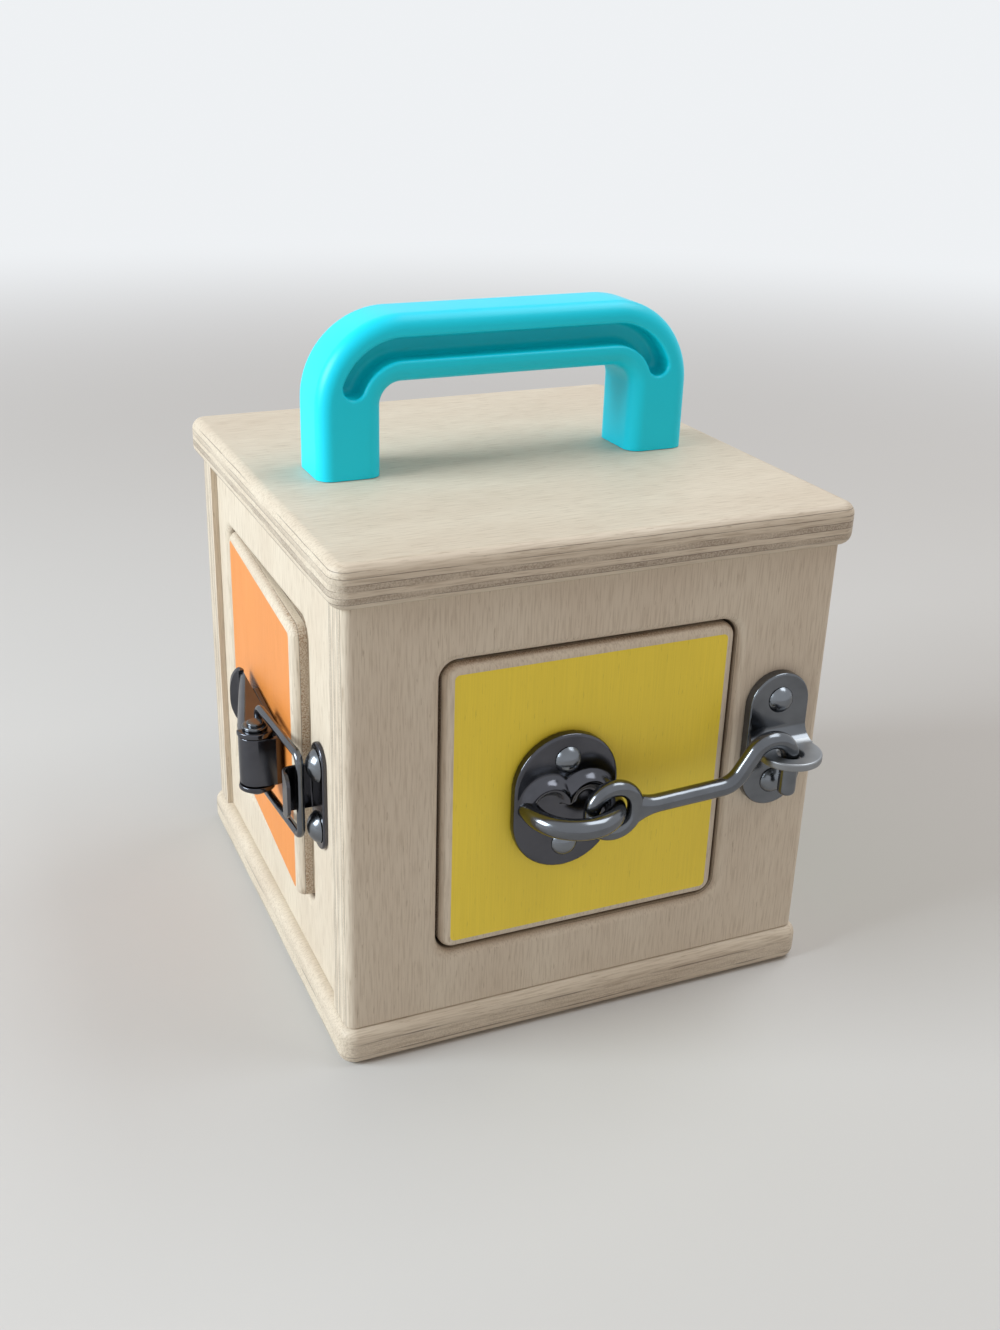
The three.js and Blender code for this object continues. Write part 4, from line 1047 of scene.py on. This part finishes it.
# Toggle latch, left
def toggle_base():
    level = SEAT + TOGGLE_SHEET / 2
    front, rear = TOGGLE_X + TOGGLE_ROLL, TOGGLE_X - TOGGLE_PLATE
    riser = bent_line([(rear, level), (front, level), (front, TOGGLE_Z)], [TOGGLE_SHEET])
    curl = arc(TOGGLE_X, TOGGLE_Z, TOGGLE_ROLL, 0, TOGGLE_ROLL_END, ROLL_STEPS)[1:]
    sheet = bent_sheet([*riser, *curl], TOGGLE_SHEET, TOGGLE_KNUCKLE)
    return trimmed(sheet, plan_block(2 * TOGGLE_PLATE, TOGGLE_KNUCKLE, TOGGLE_CORNER, TOGGLE_X))


def lever_crest(back):
    return TOGGLE_Z + LEVER_EAR - back * LEVER_SLOPE


def tab_corners(tab_x, level):
    """Blocks that round the thumb tab off to half an oval, standing on the web's level."""
    height = LEVER_TAB * math.sin(LEVER_TAB_ANGLE) + LEVER_TAB_MARGIN
    outline = [(LEVER_OUTSIDE * x, level + height * y) for x, y in arc(0, 0, 1, 0, 90, TURN_SIDES)]
    outline += [(0, level + TALL), (TALL, level + TALL), (TALL, level)]
    end = tab_x + LEVER_TAB_MARGIN
    corner = prism(outline, [(0, end - LEVER_LENGTH), (0, end)])
    return both_ends(mapped(corner, lambda y, z, x: (x, y, z)))


def lever_bends(tab_start):
    """Blocks that round the bends between the web and the flanges."""
    ends = (tab_start - LEVER_TAB_BEND, 0)
    side = LEVER_OUTSIDE - LEVER_BEND
    bend = arc(side, -LEVER_BEND, LEVER_BEND, 0, 90, CORNER_STEPS)
    outline = [*bend, (side, MARGIN), (LEVER_OUTSIDE + MARGIN, MARGIN), (LEVER_OUTSIDE + MARGIN, -LEVER_BEND)]
    rings = [[(TOGGLE_X - back, y, lever_crest(back) + z) for y, z in outline] for back in ends]
    return both_ends(loft(rings))


def toggle_lever():
    tip = lever_crest(LEVER_FLANGE)
    flange = [
        *arc(TOGGLE_X, TOGGLE_Z, LEVER_EAR, -90, 90, TURN_SIDES),
        (TOGGLE_X - LEVER_FLANGE, tip),
        (TOGGLE_X - LEVER_FLANGE, tip - LEVER_FLANGE_TIP),
    ]
    middle = (LEVER_INSIDE + LEVER_OUTSIDE) / 2
    flanges = both_ends(moved(upright(flange, LEVER_SHEET), y=middle))
    tab_start = LEVER_LENGTH - LEVER_TAB * math.cos(LEVER_TAB_ANGLE)
    web_level = lever_crest(tab_start) - LEVER_SHEET / 2
    web = bent_line([
        (TOGGLE_X - LEVER_WEB, lever_crest(LEVER_WEB) - LEVER_SHEET / 2),
        (TOGGLE_X - tab_start, web_level),
        (TOGGLE_X - LEVER_LENGTH, web_level + LEVER_TAB * math.sin(LEVER_TAB_ANGLE)),
    ], [LEVER_TAB_BEND])
    sheet = bent_sheet(web, LEVER_SHEET, 2 * LEVER_OUTSIDE)
    body = joined(cut(sheet, *tab_corners(TOGGLE_X - tab_start, web_level)), *flanges)
    return cut(body, *lever_bends(tab_start))


def headed_pin(shank, half, steps, x, z):
    """Pin along Y with a stepped head at each end, each step given by its diameter and height."""
    cap = []
    level = half
    for diameter, height in steps:
        cap.append((diameter / 2, level))
        level += height
        cap += arc(diameter / 2 - SHEET_EDGE, level - SHEET_EDGE, SHEET_EDGE, 0, 90, EDGE_STEPS)
    cap.append((0, level))
    foot = [(radius, -height) for radius, height in reversed(cap)]
    pin = turned([*foot, (shank / 2, -half), (shank / 2, half), *cap])
    return mapped(pin, lambda across, out, along: (x + across, along, z - out))


def toggle_bail():
    half = BAIL_HEIGHT / 2
    near = LEVER_INSIDE - 2 * FIT
    upper = [(BAIL_X, near, BAIL_Z), (BAIL_X, half, BAIL_Z), (BAIL_END_X, half, BAIL_END_Z)]
    lower = [(x, -y, z) for x, y, z in reversed(upper)]
    return tube(filleted(upper + lower, [BAIL_CORNER] * 4), BAIL_WIRE)


def toggle_strike():
    plate = flat_plate(STRIKE_PLATE, STRIKE_SHEET, STRIKE_X)
    sheet = STRIKE_SHEET - 2 * STRIKE_FOOT_GAP
    level = SEAT + STRIKE_SHEET / 2
    lip = STRIKE_HOOK_LIFT - sheet / 2
    end = STRIKE_HOOK_X + STRIKE_HOOK_REACH
    route = [(STRIKE_X, level), (STRIKE_HOOK_X, level), (STRIKE_HOOK_X, lip), (end, lip)]
    strip = bent_sheet(bent_line(route, [sheet, STRIKE_HOOK_BEND]), sheet, STRIKE_HOOK_HEIGHT)
    reach = STRIKE_PLATE[1]
    plan = plan_block(2 * reach, STRIKE_HOOK_HEIGHT, STRIKE_HOOK_CORNER, end - reach)
    hook = trimmed(moved(strip, y=STRIKE_HOOK_RISE), moved(plan, y=STRIKE_HOOK_RISE))
    return joined(hook, plate)


def add_toggle_latch(door, wall):
    raised = Matrix.Translation((0, TOGGLE_Y * MM, 0))
    on_door, on_wall = door @ raised, wall @ raised
    pin = headed_pin(TOGGLE_PIN, LEVER_OUTSIDE + SEAT, TOGGLE_HEAD, TOGGLE_X, TOGGLE_Z)
    dress("toggle_base", toggle_base(), on_door, darkened_nickel)
    dress("toggle_lever", toggle_lever(), on_door, darkened_nickel)
    dress("toggle_pivot_pin", pin, on_door, lightened_nickel)
    dress("toggle_bail", toggle_bail(), on_door, lightened_nickel)
    dress("toggle_strike", toggle_strike(), on_wall, darkened_nickel)
    spots = {spot: (TOGGLE_X - back, 0) for spot, back in TOGGLE_RIVETS.items()}
    add_rivets("toggle_base", spots, TOGGLE_SHEET, on_door)
    add_rivet_pair("toggle_strike", STRIKE_X, 0, STRIKE_RIVETS, STRIKE_SHEET, on_wall, STRIKE_RIVET_HEAD)


# Barrel bolt, right
def bolt_saddle(x, width, play):
    inner = BOLT / 2 + play
    outer = inner + BOLT_GUIDE_SHEET
    foot = SEAT + BOLT_SHEET / 2
    outline = [
        (outer, foot),
        *arc(0, BOLT_Z, outer, 0, 180, TURN_SIDES),
        (-outer, foot),
        (-inner, foot),
        *arc(0, BOLT_Z, inner, 180, 0, TURN_SIDES),
        (inner, foot),
    ]
    return mapped(upright(outline, width), lambda across, along, z: (x + along, across, z))


def slide_bolt():
    radius = BOLT / 2
    rear, tip = BOLT_X - BOLT_REAR, JAMB - BOLT_TIP_INSET
    nose = arc(radius - BOLT_TIP, tip - BOLT_TIP, BOLT_TIP, 0, 90, EDGE_STEPS)
    tail = arc(radius - BOLT_TIP, rear + BOLT_TIP, BOLT_TIP, -90, 0, EDGE_STEPS)
    bar = turned([(0, rear), *tail, *nose, (0, tip)])
    bar = mapped(bar, lambda out, across, along: (along, across, BOLT_Z - out))
    half = BOLT_KNOB / 2
    ball = arc(0, BOLT_KNOB_HEIGHT - half, half, BOLT_KNOB_NECK, 90, 2 * CORNER_STEPS)
    knob = turned([(0, 0), (BOLT_KNOB_STEM / 2, 0), *ball])
    return joined(bar, moved(knob, BOLT_X - BOLT_TRAVEL / 2, 0, BOLT_Z))


def add_barrel_bolt(door, wall):
    plate = flat_plate(BOLT_PLATE, BOLT_SHEET, BOLT_X, corner=BOLT_CORNER)
    guides = [bolt_saddle(BOLT_X + end * BOLT_GUIDES / 2, BOLT_GUIDE, FIT) for end in (-1, 1)]
    keeper = flat_plate((KEEPER_LENGTH, BOLT_PLATE[1]), BOLT_SHEET, KEEPER_X, corner=BOLT_CORNER)
    dress("bolt_plate", joined(plate, *guides), door, darkened_nickel)
    dress("slide_bolt", slide_bolt(), door, lightened_nickel)
    dress("bolt_keeper", joined(keeper, bolt_saddle(KEEPER_X, KEEPER_SADDLE, KEEPER_PLAY)), wall, darkened_nickel)
    add_rivet_pair("bolt_plate", BOLT_X, 0, BOLT_RIVETS, BOLT_SHEET, door)
    add_rivet_pair("bolt_keeper", KEEPER_X, 0, BOLT_RIVETS, BOLT_SHEET, wall)


# Swivel hasp, back
def hasp_leaf():
    level = SEAT + HASP_SHEET / 2
    plate_end = HASP_X - HASP_ROLL - HASP_SHEET / 2 - FIT
    rear = plate_end - HASP_LEAF
    curl = arc(HASP_X, HASP_Z, HASP_ROLL, -90, HASP_SWEEP - 90, ROLL_STEPS)
    sheet = bent_sheet([(rear, level), *curl], HASP_SHEET, HASP_HEIGHT)
    body = trimmed(sheet, plan_block(4 * HASP_LEAF, HASP_HEIGHT, HASP_CORNER, rear + 2 * HASP_LEAF))
    half = HASP_KNUCKLE / 2 + FIT
    return cut(body, block((plate_end, -half, -TALL), (plate_end + HASP_LEAF, half, TALL)))


def hasp_strap():
    start, end = HASP_X + HASP_STRAP_GAP, STAPLE_PLATE_X + HASP_STRAP_END
    length = end - start
    curl = arc(HASP_X, HASP_Z, HASP_ROLL, 90, 90 + HASP_SWEEP, ROLL_STEPS)
    sheet = bent_sheet([(end, HASP_STRAP_Z), *curl], HASP_SHEET, HASP_HEIGHT)
    body = trimmed(sheet, plan_block(4 * length, HASP_HEIGHT, HASP_END, end - 2 * length))
    half = HASP_KNUCKLE / 2
    beside = block((start - length, half, -TALL), (start, TALL, TALL))
    slot = plan_block(*HASP_SLOT, HASP_SLOT[0] / 2, STAPLE_PLATE_X)
    return cut(body, *both_ends(beside), slot)


def hasp_knob():
    width, length, thickness = KNOB_BAR
    foot = STAPLE_PLATE_SHEET + 2 * SEAT
    level = HASP_STRAP_Z + HASP_SHEET / 2 + KNOB_BAR_GAP
    bar = slab(width, length, width / 2, edge_rows(thickness, KNOB_EDGE, KNOB_EDGE))
    top = level + KNOB_EDGE
    post = turned([(0, foot), (KNOB_POST / 2, foot), (KNOB_POST / 2, top), (0, top)])
    return joined(moved(bar, STAPLE_PLATE_X, z=level), moved(post, STAPLE_PLATE_X))


def add_swivel_hasp(door, wall):
    plate = flat_plate(STAPLE_PLATE, STAPLE_PLATE_SHEET, STAPLE_PLATE_X)
    pin = headed_pin(HASP_PIN, HASP_HEIGHT / 2 + SEAT, HASP_PIN_HEAD, HASP_X, HASP_Z)
    dress("hasp_leaf", hasp_leaf(), door, darkened_nickel)
    dress("hasp_strap", hasp_strap(), door, darkened_nickel)
    dress("hasp_pin", pin, door, lightened_nickel)
    dress("hasp_staple_plate", plate, wall, darkened_nickel)
    dress("hasp_turn_knob", hasp_knob(), wall, lightened_nickel)
    add_rivet_pair("hasp_leaf", HASP_RIVET_X, 0, HASP_RIVETS, HASP_SHEET, door)
    add_rivet_pair("hasp_staple_plate", STAPLE_PLATE_X, 0, STAPLE_PLATE_RIVETS, STAPLE_PLATE_SHEET, wall)


# The box put together
WALL_SEED = 10
DOOR_SEED = 20
add_board("base_board", seed=1, ply=4.4, shade=0.35, specks=0.7, seam=0.35)
add_board("top_board", seed=2, shade=0.85, onset=2.4)
add_handle()
latches = {
    "front": add_cabin_hook,
    "left": add_toggle_latch,
    "right": add_barrel_bolt,
    "back": add_swivel_hasp,
}
for number, side in enumerate(FACE_TURNS):
    wall_place = face_place(side)
    door_place = face_place(side, LEFT_AJAR if side == "left" else 0)
    add_wall(side, PANEL_EDGE if side in ("front", "back") else 0, WALL_SEED + number)
    add_door(side, door_place, DOOR_SEED + number)
    latches[side](door_place, wall_place)
    keep(f"{side}_door_stop", inner_wood)
    for end in ("upper", "lower"):
        keep(f"{side}_door_{end}_pin", steel)
for end in ("left", "right"):
    keep(f"handle_screw_{end}", steel)

# Camera, with the photograph's frame in pixels, its place in metres and its turns in degrees
FRAME_SIZE = (1000, 1330)
FOCAL = 1434.645
MIDDLE = (445.415, 650.771)
SENSOR = 36
NEAREST = 0.01
CAMERA_PLACE = (-0.175754, -0.391355, 0.275371)
CAMERA_HEADING = -22.2338
CAMERA_DOWN = 23.6515
CAMERA_ROLL = 0.895


def add_camera():
    data = bpy.data.cameras.new("camera")
    camera = linked("camera", data)
    turn = rotation(CAMERA_HEADING, "Z") @ rotation(90 - CAMERA_DOWN, "X") @ rotation(CAMERA_ROLL, "Z")
    camera.matrix_world = Matrix.Translation(CAMERA_PLACE) @ turn
    data.sensor_fit = "VERTICAL"
    data.sensor_height = SENSOR
    data.lens = FOCAL * SENSOR / FRAME_SIZE[1]
    data.shift_x = (FRAME_SIZE[0] / 2 - MIDDLE[0]) / FRAME_SIZE[1]
    data.shift_y = (MIDDLE[1] - FRAME_SIZE[1] / 2) / FRAME_SIZE[1]
    data.clip_start = NEAREST
    bpy.context.scene.camera = camera


# Floor and light
SKY_SEEN = (0.86, 0.88, 0.90)
SKY_LIGHT = (0.37, 0.305, 0.262)
FLOOR = (0.60, 0.595, 0.585)
FLOOR_RADIUS = 30
FLOOR_FADE = (0.45, 1.6)
FLOOR_WAVES = (14, 14, 14)
FLOOR_SHARE = 0.2
FLOOR_SHADE = 0.94
FLOOR_ROUGH = 0.75
MIDDLE_OF_BOX = (0, 0, 0.09)
LAMPS = {
    "window": {"place": (-1.25, 0.05, 0.68), "size": (0.7, 0.55), "power": 21, "colour": (0.84, 0.94, 1.0)},
    "ceiling": {"place": (0.6, -0.05, 1.1), "size": (0.9, 0.6), "power": 7, "colour": (0.92, 0.97, 1.0)},
}


def sky_colour(graph):
    """Colour of the backdrop, paler to the camera and in reflections than as light on the object."""
    path = graph.tree.nodes.new("ShaderNodeLightPath").outputs
    seen = path["Is Camera Ray"]
    for ray in ("Is Glossy Ray", "Is Transmission Ray"):
        seen = graph.math("MAXIMUM", seen, path[ray])
    return graph.blend(seen, SKY_LIGHT, SKY_SEEN)


def add_floor():
    finish = Finish("pale_floor")
    place = finish.coordinates()
    cloud = finish.noise(place, FLOOR_WAVES, detail=3)
    tone = finish.blend(cloud, FLOOR, shaded(FLOOR, FLOOR_SHADE), FLOOR_SHARE)
    finish.surface("Base Color", tone)
    finish.surface("Roughness", FLOOR_ROUGH)
    away = finish.add("ShaderNodeVectorMath", {0: place}, output=1, operation="LENGTH")
    sky = finish.add("ShaderNodeEmission", {"Color": sky_colour(finish), "Strength": 1.0})
    fade = finish.step(away, *FLOOR_FADE)
    faded = finish.add("ShaderNodeMixShader", {0: fade, 1: finish.shader.outputs[0], 2: sky})
    finish.feed(finish.tree.nodes["Material Output"].inputs["Surface"], faded)
    mesh = bpy.data.meshes.new("floor")
    ring = arc(0, 0, FLOOR_RADIUS, 0, 360, TURN_SIDES)[1:]
    mesh.from_pydata([(x, y, 0) for x, y in ring], [], [tuple(range(TURN_SIDES))])
    mesh.materials.append(finish.material)
    floor = linked("floor", mesh)


def add_lamp(name, place, size, power, colour):
    data = bpy.data.lights.new(name, "AREA")
    data.shape = "RECTANGLE"
    data.size, data.size_y = size
    data.energy = power
    data.color = colour
    lamp = linked(name, data)
    lamp.location = place
    lamp.rotation_euler = (Vector(MIDDLE_OF_BOX) - lamp.location).to_track_quat("-Z", "Y").to_euler()


def add_sky():
    world = bpy.data.worlds.new("studio")
    world.use_nodes = True
    graph = Nodes(world.node_tree)
    background = graph.tree.nodes["Background"]
    graph.feed(background.inputs["Color"], sky_colour(graph))
    graph.feed(background.inputs["Strength"], 1.0)
    bpy.context.scene.world = world


add_camera()
add_floor()
add_sky()
for name, settings in LAMPS.items():
    add_lamp(name, **settings)
bpy.context.scene.view_settings.view_transform = "Standard"
